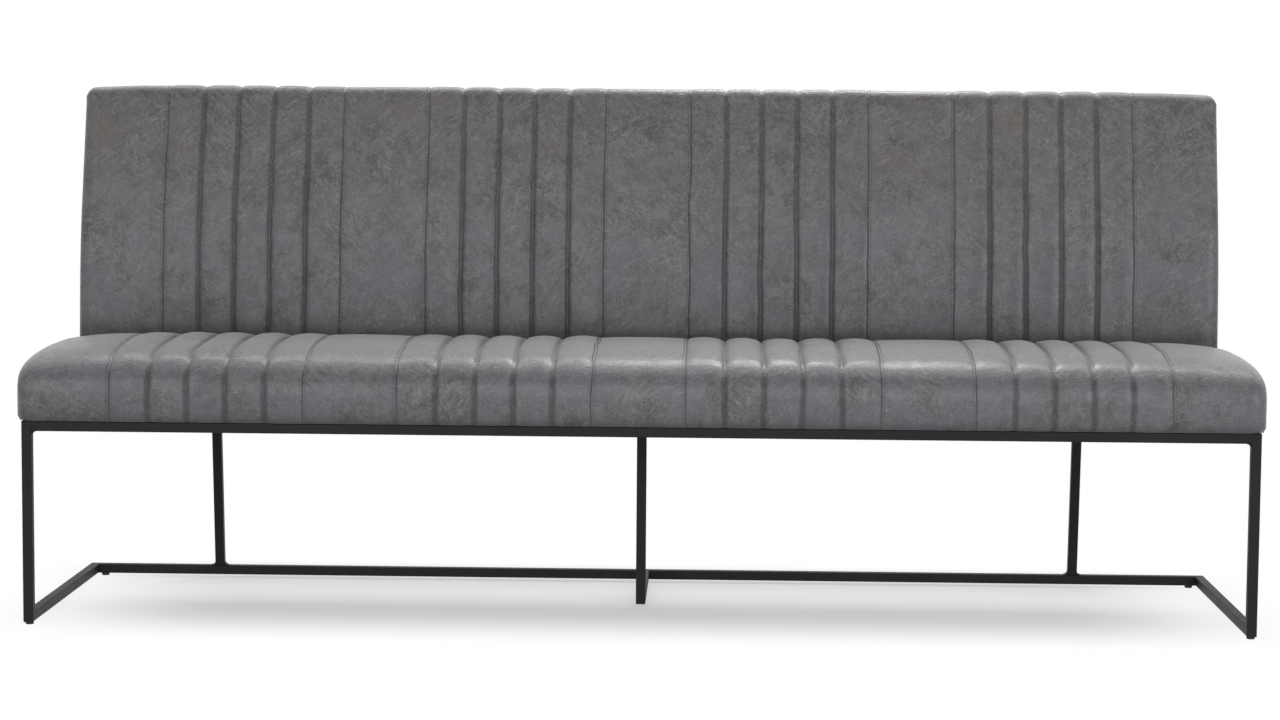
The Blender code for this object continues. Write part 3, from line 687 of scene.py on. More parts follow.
def waves(rng: np.random.Generator, where: Array, lengths: Sequence[float], count: int) -> Array:
    """Smooth random curves: sums of sines of the given wavelengths with random phases.

    Args:
        rng: seeded generator.
        where: positions along the curves.
        lengths: wavelengths.
        count: number of curves.

    Returns:
        A (count, len(where)) array of about unit height.
    """
    phase = rng.uniform(0, 2 * np.pi, (count, len(lengths), 1))
    weight = rng.normal(0, 1, (count, len(lengths), 1))
    angle = 2 * np.pi * where[None, None, :] / np.asarray(lengths)[None, :, None]
    return (weight * np.sin(angle + phase)).sum(1) / math.sqrt(len(lengths))


def along(points: Array) -> Array:
    """Distance along a polyline up to each of its points."""
    return np.concatenate([[0.0], np.cumsum(np.linalg.norm(np.diff(points, axis=0), axis=1))])


def resample(points: Array, marks: Array) -> Array:
    """Points of a polyline at the given distances along it."""
    path = along(points)
    return np.stack([np.interp(marks, path, points[:, k]) for k in range(points.shape[1])], -1)


def blow_out(name: str, start: Array, pins: NDArray[np.bool_]) -> Array:
    """Blow out a pinned cloth by pressure, without gravity.

    Args:
        name: name of the passing cloth object.
        start: a (columns, rows, 3) grid whose faces look outwards.
        pins: the points that stay.

    Returns:
        The grid's points at the end.
    """
    index = np.arange(pins.size).reshape(pins.shape)
    corners = (index[:-1, :-1], index[1:, :-1], index[1:, 1:], index[:-1, 1:])
    piece = mesh_piece(name, start.reshape(-1, 3), [np.stack(corners, -1).reshape(-1, 4)])
    piece.vertex_groups.new(name="held").add(index[pins].tolist(), 1.0, "REPLACE")
    cloth = piece.modifiers.new("cloth", "CLOTH")
    settings = cloth.settings
    settings.quality = 5
    settings.mass = 0.3
    settings.tension_stiffness = settings.compression_stiffness = 15.0
    settings.shear_stiffness = 5.0
    settings.bending_stiffness = 2.0
    settings.use_pressure = True
    settings.uniform_pressure_force = CLOTH_PRESSURE
    settings.vertex_group_mass = "held"
    settings.effector_weights.gravity = 0.0
    scene = bpy.context.scene
    for number in range(1, CLOTH_FRAMES + 1):
        scene.frame_set(number)
    swollen = np.empty(start.size, np.float32)
    piece.evaluated_get(bpy.context.evaluated_depsgraph_get()).data.vertices.foreach_get("co", swollen)
    mesh = piece.data
    bpy.data.objects.remove(piece)
    bpy.data.meshes.remove(mesh)
    scene.frame_set(1)
    return swollen.reshape(start.shape).astype(np.float64)


def quarter(distance: Array, reach: float) -> Array:
    """Share of a quarter circle used up at a distance from an end, 0 inside the reach and 1 at the end."""
    share = np.clip((reach - distance) / reach, 0.0, 1.0)
    return 1.0 - np.sqrt(1.0 - share**2)


# Sewn pattern


class SeamKind(Enum):
    """How a line of the pattern is sewn."""

    EDGE = "edge of a group"
    GROOVE = "groove inside a group"


class Spacing(Enum):
    """How closely the columns of a skin stand beside a seam, in metres from it."""

    FINE = (
        0.0, 0.0006, 0.0012, 0.0018, 0.0024, 0.0031, 0.0040, 0.0051,
        0.0068, 0.0092, 0.0122, 0.0160, 0.0205, 0.0255, 0.0300,
    )
    CLOTH = (0.0, 0.0060, 0.0130, 0.0205, 0.0278)


@dataclass(frozen=True)
class SewnLayout:
    """Channels, plain panels and seams across the bench."""

    half_width: float = span("seat_cover", Axis.X)[1]
    groups: int = 4
    channels: int = 5
    channel_width: float = 0.0692
    groove_strip: float = 0.0012
    edge_strip: float = 0.0004
    crown_power: float = 5.5
    edge_level: float = 0.52
    plain_level: float = 0.64
    plain_climb: float = 0.008
    edge_trench: float = 0.0010
    groove_trench: float = 0.0042
    groove_share: float = 0.35
    # painted shade along the seams: its width and strength at a group's edge and in a groove
    edge_line: float = 0.0012
    edge_darkness: float = 0.62
    groove_line: float = 0.0060
    groove_darkness: float = 0.60
    # paler channel shoulders beside the seams: partly rubbing wear, partly a painted highlight
    rub_highlight_middle: float = 0.0095
    rub_highlight_reach: float = 0.0035
    plain_columns: int = 11
    last_columns: int = 12

    @property
    def plain_width(self) -> float:
        """Width of a plain panel."""
        sewn = self.groups * self.channels * self.channel_width
        return (2 * self.half_width - sewn) / (self.groups + 1)

    def seams(self, kind: Optional[SeamKind] = None) -> Array:
        """X of the seams from left to right.

        Args:
            kind: the kind of seam, or None for all.

        Returns:
            A rising array.
        """
        pitch = self.channels * self.channel_width + self.plain_width
        starts = -self.half_width + self.plain_width + np.arange(self.groups) * pitch
        lines = starts[:, None] + np.arange(self.channels + 1) * self.channel_width
        if kind is SeamKind.EDGE:
            lines = lines[:, [0, -1]]
        elif kind is SeamKind.GROOVE:
            lines = lines[:, 1:-1]
        return lines.ravel()

    def columns(self, end_round: float, spacing: Spacing = Spacing.FINE) -> Array:
        """X of the surface's columns, closer together at the seams and in the rounded ends.

        Args:
            end_round: reach of the rounding at the ends.
            spacing: how closely they stand beside the seams.

        Returns:
            A rising array.
        """
        seams = self.seams()
        near = np.array(spacing.value)
        angle = np.linspace(0, np.pi / 2, len(near))
        ends = self.half_width - end_round * (1 - np.sin(angle))
        last = np.linspace(seams[-1] + near[-1], ends[0], self.last_columns)
        middles = (seams[1:] + seams[:-1]) / 2
        wide = np.diff(seams) > 1.5 * self.channel_width
        share = np.linspace(-0.5, 0.5, self.plain_columns + 2)[1:-1]
        spread = share * (self.plain_width - 2 * near[-1])
        beside = (seams[:, None] + np.concatenate([near, -near])).ravel()
        across = (middles[wide][:, None] + spread).ravel()
        blocks = [-ends, ends, last, -last, beside, middles[~wide], across]
        return np.unique(np.round(np.concatenate(blocks), 6))

    def nearest(self, x: Array, kind: Optional[SeamKind] = None) -> Array:
        """Distance of each column from the nearest seam."""
        return np.abs(x[:, None] - self.seams(kind)[None, :]).min(axis=1)

    def channel(self, x: Array) -> NDArray[np.int64]:
        """Number of the channel that holds each column.

        Args:
            x: columns.

        Returns:
            The numbers from left to right, or -1 in a plain panel.
        """
        first = self.seams().reshape(self.groups, -1)[:, :1]
        place = (x[None, :] - first) / self.channel_width
        inside = (place >= 0) & (place <= self.channels)
        start = np.arange(self.groups)[:, None] * self.channels
        number = start + np.clip(place.astype(int), 0, self.channels - 1)
        return np.where(inside, number, -1).max(axis=0)

    def relief(self, x: Array) -> Array:
        """Height of the quilting.

        A channel starts at its seam's level and swells by 1 - (1 - s) ** power, s running from the
        seam to the middle. A plain panel climbs from its seam's level to its own by 1 - exp(-d).

        Args:
            x: columns.

        Returns:
            0 in a groove and 1 on a channel.
        """
        groove = self.nearest(x, SeamKind.GROOVE) < self.nearest(x, SeamKind.EDGE)
        distance = self.nearest(x)
        level = np.where(groove, 0.0, self.edge_level)
        free = np.where(groove, self.groove_strip, self.edge_strip)
        share = np.clip((distance - free) / (self.channel_width / 2 - free), 0.0, 1.0)
        channel = 1 - (1 - level) * (1 - share) ** self.crown_power
        plain = level + (self.plain_level - level) * (1 - np.exp(-distance / self.plain_climb))
        return np.where(self.channel(x) >= 0, channel, plain)

    def trench(self, x: Array) -> Array:
        """Depth of the sewn lines: bell curves, sharp at a group's edge and rounder in a groove.

        Args:
            x: columns.

        Returns:
            1 on an edge seam, less in a groove and 0 far from the seams.
        """
        edge = np.exp(-((self.nearest(x, SeamKind.EDGE) / self.edge_trench) ** 2))
        groove = np.exp(-((self.nearest(x, SeamKind.GROOVE) / self.groove_trench) ** 2))
        return edge + self.groove_share * groove

    def shadow(self, x: Array) -> Array:
        """Painted shade along the seams: a bell curve at an edge, a flatter one in a groove.

        Args:
            x: columns.

        Returns:
            Numbers from 0 to 1.
        """
        edge = np.exp(-((self.nearest(x, SeamKind.EDGE) / self.edge_line) ** 2))
        groove = np.exp(-((self.nearest(x, SeamKind.GROOVE) / self.groove_line) ** 4))
        return np.clip(self.edge_darkness * edge + self.groove_darkness * groove, 0.0, 1.0)

    def rub_and_highlight(self, x: Array) -> Array:
        """Paler shoulders of the channels beside the seams: partly rubbing wear, partly a painted highlight.
        """
        rubbed = np.exp(-(((self.nearest(x) - self.rub_highlight_middle) / self.rub_highlight_reach) ** 2))
        return np.where(self.channel(x) >= 0, rubbed, 0.0)


# Padded pieces


@dataclass
class PaddedLoft:
    """A padded cover made of cross sections along X, each a closed loop in (Y, Z)."""

    layout: SewnLayout
    name: str
    replaced: tuple[str, ...]
    end_round: float
    rise: float
    board_top: float = span("seat_board", Axis.Z)[1] + CLEARANCE
    board_half: float = span("seat_board", Axis.X)[1] + CLEARANCE
    droop_power: float = 1.5
    trench_depth: float = 0.0016
    wobble: float = 0.0008
    wobble_reach: float = 0.02
    uneven: float = 0.0009
    unlike: float = 0.05
    pucker: float = 0.00018
    pucker_reach: float = 0.011
    end_share: float = 0.25
    stitch_offset: float = 0.0051
    cap_rings: int = 12
    slack: float = 0.28
    weave: float = 0.013
    movement: float = 0.006
    most_gain: float = 2.0
    fill: float = 0.8
    seed: int = SEED

    def outline(self) -> tuple[Array, Array]:
        """Draw the skin of the section.

        Returns:
            Its (Y, Z) pairs, and the share of the quilting's swelling at each of them.
        """
        raise NotImplementedError

    def shape(self, x: Array, skin: Array) -> Array:
        """Fit the skin to each column: round the ends, and add the hidden inner side.

        Args:
            x: columns.
            skin: (columns, rows, 2) pairs of Y and Z.

        Returns:
            A (columns, points, 3) array whose first rows are the skin.
        """
        raise NotImplementedError

    def painted_shade_by_row(self, path: Array) -> tuple[Array, Array]:
        """Share of the seams' painted shade along the skin, and the painted shade on the leather itself."""
        raise NotImplementedError

    def end_face(self, z: Array) -> Array:
        """Distance of the end wall from the middle at each height."""
        raise NotImplementedError

    def end_painted_shade(self, z: Array) -> Array:
        """Painted shade on the end wall at each height."""
        return np.zeros_like(z)

    def swelling(self, x: Array, path: Array) -> Array:
        """How far each point of the skin stands off its base.

        The quilting's relief, each channel a little unlike the next along its length, with broad
        unevenness and puckers beside the seams.

        Args:
            x: columns.
            path: distance along the skin.

        Returns:
            A (columns, rows) array in metres.
        """
        rng = np.random.default_rng(self.seed)
        seams = self.layout.seams()
        channels = self.layout.groups * self.layout.channels
        gain = 1 + self.unlike * waves(rng, path, (0.35, 0.19, 0.09), channels + 1)
        quilt = self.layout.relief(x)[:, None] * gain[self.layout.channel(x)] * self.rise
        along_skin = waves(rng, path, (0.6, 0.31), 9)
        across = waves(rng, x, (1.3, 0.7, 0.4, 0.23), 9)
        broad = across.T @ along_skin * self.uneven / 3
        tight = self.pucker * np.exp(-self.layout.nearest(x) / self.pucker_reach)
        side = np.argmin(np.abs(x[:, None] - seams[None, :]), axis=1)
        pucker = waves(rng, path, (0.024, 0.017, 0.013), len(seams))[side] * tight[:, None]
        return quilt + broad + pucker

    def puffed(self, x: Array, skin: Array, reach: Array) -> Array:
        """Blow out a pinned cloth over the sewn pattern and read how far it moves.

        The cloth is a coarse grid of the skin whose channels have the rise that slack leaves. It is
        held along the seams and its border. Its movement along the normals, capped and smoothed along
        the seams, is scaled so that the middles of the channels and of the plain panels gain the rest
        of their rise, and is read on the fine grid by linear interpolation along rows and columns.

        Args:
            x: columns of the fine grid.
            skin: the section's (Y, Z) pairs.
            reach: share of the swelling at each pair.

        Returns:
            A (columns, rows) array in metres.
        """
        path = along(skin)
        marks = np.linspace(0.0, path[-1], round(path[-1] / self.weave) + 1)
        coarse = self.layout.columns(self.end_round, Spacing.CLOTH)
        far = self.layout.nearest(coarse)
        swell = self.layout.relief(coarse)[:, None] * self.rise * (1 - self.slack) * np.ones(len(marks))
        share = np.interp(marks, path, reach)
        start = self.surface(coarse, resample(skin, marks), share, swell)[:, : len(marks)]
        held = far < TINY
        held[[0, -1]] = True
        pins = np.repeat(held[:, None], len(marks), axis=1)
        pins[:, [0, 1, -2, -1]] = True
        normal = np.cross(np.gradient(start, axis=0), np.gradient(start, axis=1))
        normal /= np.linalg.norm(normal, axis=2, keepdims=True)
        moved = ((blow_out(f"{self.name}_cloth", start, pins) - start) * normal).sum(axis=2)
        edged = np.pad(np.clip(moved, 0.0, self.movement), ((0, 0), (2, 2)), "edge")
        moved = sum(part * edged[:, k : k + len(marks)] for k, part in enumerate(BLUR))
        sewn = self.layout.channel(coarse) >= 0
        kinds = (
            (sewn, 0.4 * self.layout.channel_width, 1.0),
            (~sewn, 0.3 * self.layout.plain_width, self.layout.plain_level),
        )
        calm = slice(4, -8)
        for inside, depth, level in kinds:
            typical = float(np.median(moved[inside & (far > depth)][:, calm]))
            gain = min(self.slack * self.rise * level / max(typical, TINY), self.most_gain)
            LOG.info("%s: cloth moved %.2f mm, taken %.2f times", self.name, 1000 * typical, gain)
            moved[inside] *= gain
        fine = np.stack([np.interp(path, marks, column) for column in moved])
        return np.stack([np.interp(x, coarse, row) for row in fine.T], axis=1)

    def surface(
        self, x: Array, skin: Array, reach: Array, swell: Array, puff: Union[Array, float] = 0.0
    ) -> Array:
        """Rings of the piece for the given columns and rows.

        Args:
            x: columns.
            skin: the section's (Y, Z) pairs.
            reach: share of the swelling at each pair.
            swell: (columns, rows) swelling before that share.
            puff: swelling that is taken in full.

        Returns:
            A (columns, points, 3) array whose first rows are the skin.
        """
        path = along(skin)
        slope = np.gradient(skin, path, axis=0)
        normal = np.stack([-slope[:, 1], slope[:, 0]], -1)
        normal /= np.linalg.norm(normal, axis=1, keepdims=True)
        near_end = (self.layout.half_width - np.abs(x)) / self.end_round
        lift = (swell * reach[None, :] + puff) * np.clip(near_end, self.end_share, 1.0)[:, None]
        rings = self.shape(x, skin[None, :, :] + normal[None, :, :] * lift[:, :, None])
        rings[:, : len(path), 0] += self.sway(x, path)
        return rings

    def build(self) -> bpy.types.Object:
        """Make the padded piece with attributes of painted shade and of a painted highlight on worn
        shoulders.

        Returns:
            The finished piece.
        """
        x = self.layout.columns(self.end_round)
        skin, reach = self.outline()
        path = along(skin)
        swell = self.swelling(x, path)
        puff: Union[Array, float] = 0.0
        swell = swell - self.layout.relief(x)[:, None] * self.rise * self.slack
        puff = self.puffed(x, skin, reach)
        swell = swell - (self.layout.trench(x) * self.trench_depth)[:, None]
        rings = self.surface(x, skin, reach, swell, puff)
        capped = self.capped(rings)
        piece = closed_loft(self.name, capped)
        rows = skin.shape[0]
        # painted shade, stored as the seam attribute: along the seams, towards the seat's hem and at the foot
        # of the back
        share, base = self.painted_shade_by_row(path)
        dark = 1 - (1 - self.layout.shadow(x)[:, None] * share) * (1 - base)
        self.mark(piece, "seam", dark, self.end_painted_shade(capped[:, :, 2]))
        # paler channel shoulders: partly rubbing wear, partly a painted highlight
        self.mark(piece, "rub_and_highlight", self.layout.rub_and_highlight(x)[:, None] * np.ones(rows), np.zeros(capped.shape[:2]))
        LEATHER.cover(piece)
        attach(piece, BODY)
        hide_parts(*self.replaced)
        self.stitch(x, rings[:, :rows])
        return piece

    def sway(self, x: Array, path: Array) -> Array:
        """Sideways wander of the seams along their length, a sum of sines that fades beside each.

        Args:
            x: columns.
            path: distance along the skin.

        Returns:
            A (columns, rows) array in metres.
        """
        rng = np.random.default_rng(self.seed + 1)
        seams = self.layout.seams()
        curve = waves(rng, path, (0.42, 0.2, 0.11), len(seams)) * self.wobble
        return np.exp(-(((x[:, None] - seams[None, :]) / self.wobble_reach) ** 2)) @ curve

    def capped(self, rings: Array) -> Array:
        """Close the ends with smaller copies of the end rings on the end wall, closest near its edge.

        Args:
            rings: a (columns, points, 3) array.

        Returns:
            The rings with those of both ends added.
        """
        share = 1 - (np.arange(1, self.cap_rings)[:, None, None] / self.cap_rings) ** 2
        blocks = []
        for ring, side in ((rings[0], -1.0), (rings[-1], 1.0)):
            middle = ring.mean(axis=0)
            cap = middle + (ring - middle) * share
            cap[:, :, 0] = side * self.end_face(cap[:, :, 2])
            blocks.append(cap)
        return np.concatenate([blocks[0][::-1], rings, blocks[1]])

    def mark(self, piece: bpy.types.Object, name: str, levels: Array, ground: Array) -> None:
        """Store the levels on the skin, and the ground's on the ends and the hidden side.

        Args:
            piece: the piece.
            name: the attribute's name.
            levels: a (columns, rows) array for the skin.
            ground: an array for all rings, which takes the levels in.
        """
        edge = (len(ground) - len(levels)) // 2
        ground[edge : edge + len(levels), : levels.shape[1]] = levels
        store(piece, name, ground)

    def stitch(self, x: Array, skin: Array) -> None:
        """Sew a row of stitches beside every edge seam, on the plain panel's side.

        Args:
            x: columns.
            skin: the skin's points in those columns.
        """
        edges = self.layout.seams(SeamKind.EDGE).reshape(-1, 2)
        lines = (edges + np.array([-self.stitch_offset, self.stitch_offset])).ravel()
        index = np.argmin(np.abs(x[None, :] - lines[:, None]), axis=1)
        StitchRow(f"{self.name}_stitches").build(skin[index])


@dataclass
class StitchRow:
    """Short rounded threads along given lines."""

    name: str
    pitch: float = 0.0070
    length: float = 0.0034
    radius: float = 0.0008
    sides: int = 5
    clear: float = 0.012

    def build(self, lines: Array) -> bpy.types.Object:
        """Lay capsules along the lines.

        A capsule is a ring of sides carried along its axis at five places, its radius following a
        half circle at both ends.

        Args:
            lines: (count, points, 3) lines on the skin.

        Returns:
            The finished piece.
        """
        middles, axes = [], []
        for line in lines:
            path = along(line)
            marks = np.arange(self.clear, path[-1] - self.clear, self.pitch)
            middles.append(resample(line, marks))
            step = resample(line, marks + 0.001) - resample(line, marks - 0.001)
            axes.append(step / np.linalg.norm(step, axis=1, keepdims=True))
        middle, axis = np.concatenate(middles), np.concatenate(axes)
        across = np.cross(axis, np.array([1.0, 0.0, 0.0]))
        across /= np.linalg.norm(across, axis=1, keepdims=True)
        side = np.cross(axis, across)
        place = np.array([-0.5, -0.42, 0.0, 0.42, 0.5]) * self.length
        width = np.array([0.25, 0.8, 1.0, 0.8, 0.25]) * self.radius
        turn = np.arange(self.sides) * 2 * np.pi / self.sides
        wheel = np.cos(turn)[:, None, None] * across + np.sin(turn)[:, None, None] * side
        around = wheel.transpose(1, 0, 2)
        points = middle[:, None, None] + axis[:, None, None] * place[None, :, None, None]
        points = points + around[:, None] * width[None, :, None, None]
        count = len(place) * self.sides
        base = ring_quads(len(place), self.sides)
        quads = (base[None] + np.arange(len(middle))[:, None, None] * count).reshape(-1, 4)
        ends = np.stack([np.arange(self.sides)[::-1], np.arange(self.sides) + count - self.sides])
        caps = (ends[None] + np.arange(len(middle))[:, None, None] * count).reshape(-1, self.sides)
        piece = mesh_piece(self.name, points.reshape(-1, 3), [quads, caps])
        THREAD.cover(piece)
        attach(piece, BODY)
        return piece


@dataclass
class SeatPad(PaddedLoft):
    """Seat: upright front, a round shoulder up to the crest and a long fall behind, closed over the board."""

    hem: float = span("seat_cover", Axis.Z)[0]
    board_front: float = span("seat_board", Axis.Y)[0] - CLEARANCE
    board_corner: float = 0.0173
    front: float = -0.006
    rear: float = 0.4925
    face_top: float = 0.412
    crest: float = 0.497
    crest_depth: float = 0.270
    shoulder_power: float = 3.0
    rear_drop: float = 0.042
    end_fall: float = 0.420
    end_drop: float = 0.016
    end_droop: float = 0.0125
    corner: float = 0.022
    tuck: float = 0.0045
    curl: float = 0.010
    lip: float = 0.001
    # painted shade on the leather towards the hem
    painted_shade_share: float = 0.7
    painted_shade_reach: float = 0.016
    curl_path: float = 0.012
    shown_path: float = 0.40
    curl_rows: int = 6
    shown_rows: int = 83
    rear_rows: int = 20
    under_rows: int = 11
    reach_stops: tuple[float, ...] = (0.0, 0.012, 0.05, 0.09, 0.20, 0.30, 0.40, 0.52, 0.60)
    reach_shares: tuple[float, ...] = (0.2, 0.45, 0.7, 0.9, 1.2, 1.5, 1.5, 1.0, 0.3)
    reach_last: float = 0.1

    def outline(self) -> tuple[Array, Array]:
        """Draw the hem, front, shoulder, fall and rear wall.

        The shoulder is a superellipse, cos and sin raised to 2 / power, and the fall a quarter ellipse.

        Returns:
            The (Y, Z) pairs, and the share of the quilting's swelling at each of them.
        """
        turn = np.linspace(-np.pi / 2, 0, 12)
        curl_y = self.front + self.tuck * (1 - np.cos(turn))
        curl = np.stack([curl_y, self.hem + self.curl * (1 + np.sin(turn))], -1)
        rise = np.linspace(0, np.pi / 2, 900)
        deep, high = (np.clip(f(rise), 0, 1) ** (2 / self.shoulder_power) for f in (np.cos, np.sin))
        top_y = self.crest_depth - (self.crest_depth - self.front) * deep
        top = np.stack([top_y, self.face_top + (self.crest - self.face_top) * high], -1)
        drop = np.linspace(np.pi / 2, 0, 120)
        fall_y = self.crest_depth + (self.rear - self.crest_depth) * np.cos(drop)
        fall = np.stack([fall_y, self.crest - self.rear_drop * (1 - np.sin(drop))], -1)
        foot = np.array([[self.rear, self.board_top]])
        curve = np.concatenate([curl, top, fall[1:], foot])
        total = along(curve)[-1]
        low = np.linspace(0, self.curl_path, self.curl_rows, endpoint=False)
        shown = np.linspace(self.curl_path, self.shown_path, self.shown_rows, endpoint=False)
        marks = np.concatenate([low, shown, np.linspace(self.shown_path, total, self.rear_rows)])
        reach = np.interp(marks, [*self.reach_stops, total], [*self.reach_shares, self.reach_last])
        return resample(curve, marks), reach

    def painted_shade_by_row(self, path: Array) -> tuple[Array, Array]:
        """Even painted shade in the seams, and painted shade on the leather towards the hem."""
        return np.ones_like(path), self.painted_shade_share * np.exp(-path / self.painted_shade_reach)

    def end_painted_shade(self, z: Array) -> Array:
        """Painted shade on the leather towards the hem, as in front."""
        return self.painted_shade_share * np.exp(-(z - self.hem) / self.painted_shade_reach)

    def curled(self, z: Array) -> Array:
        """Share of the tuck at each height, all of it at the hem."""
        return np.clip((self.hem + self.curl - z) / self.curl, 0.0, 1.0) ** 2

    def end_face(self, z: Array) -> Array:
        """A plain wall that is tucked in at the hem."""
        return self.layout.half_width - self.tuck * self.curled(z)

    def shape(self, x: Array, skin: Array) -> Array:
        """Lower and draw in the section towards the ends, tuck the hem and go under, over the board.

        The crest falls by the end's quarter circle and by a slow droop over the last panel, lower
        points by a power of their share of the height, and depths before the crest shrink by the
        plan's round corner. The underside lies on the board inside its outline and at the hem
        outside it.

        Args:
            x: columns.
            skin: (columns, rows, 2) pairs of Y and Z.

        Returns:
            A (columns, points, 3) array whose first rows are the skin.
        """
        from_end = self.layout.half_width - np.abs(x)
        droop = np.clip(1 - from_end / self.layout.plain_width, 0, 1) ** self.droop_power
        fall = self.end_drop * quarter(from_end, self.end_round) + self.end_droop * droop
        y, z = skin[:, :, 0], skin[:, :, 1]
        share = np.clip((z - self.end_fall) / (self.crest - self.end_fall), 0, 1.2)
        z = z - fall[:, None] * share**self.droop_power
        inset = self.corner * quarter(from_end, self.corner)
        squeeze = 1 - inset / (self.crest_depth - self.front)
        drawn = self.crest_depth - (self.crest_depth - y) * squeeze[:, None]
        y = np.where(y < self.crest_depth, drawn, y)
        inside = np.abs(x) < self.board_half
        level = np.where(inside, self.board_top, self.hem)
        z[:, -1] = level
        across = x[:, None] * (1 - self.curled(z) * self.tuck / self.layout.half_width)
        outer = np.stack([across, y, z], -1)
        arc = self.board_corner * quarter(self.board_half - np.abs(x), self.board_corner)
        pocket = np.where(inside, self.board_front + arc, y[:, 0] + self.lip)
        keep = 1 - self.tuck / (self.layout.half_width - self.board_half)
        tucked = np.sign(x) * (self.board_half + (np.abs(x) - self.board_half) * keep)
        low_x = np.where(inside, x, tucked)
        steps = np.linspace(0, 1, self.under_rows + 1)[None, 1:]
        under_y = self.rear + (pocket[:, None] - self.rear) * steps
        flat = np.ones_like(under_y)
        under = np.stack([low_x[:, None] * flat, under_y, level[:, None] * flat], -1)
        lip_y = np.where(inside, pocket, pocket - self.lip / 2)
        lip = np.stack([low_x, lip_y, np.full_like(x, self.hem)], -1)
        rings = np.concatenate([outer, under, lip[:, None, :]], axis=1)
        rings[:, :, 1] += FRONT_Y
        return rings


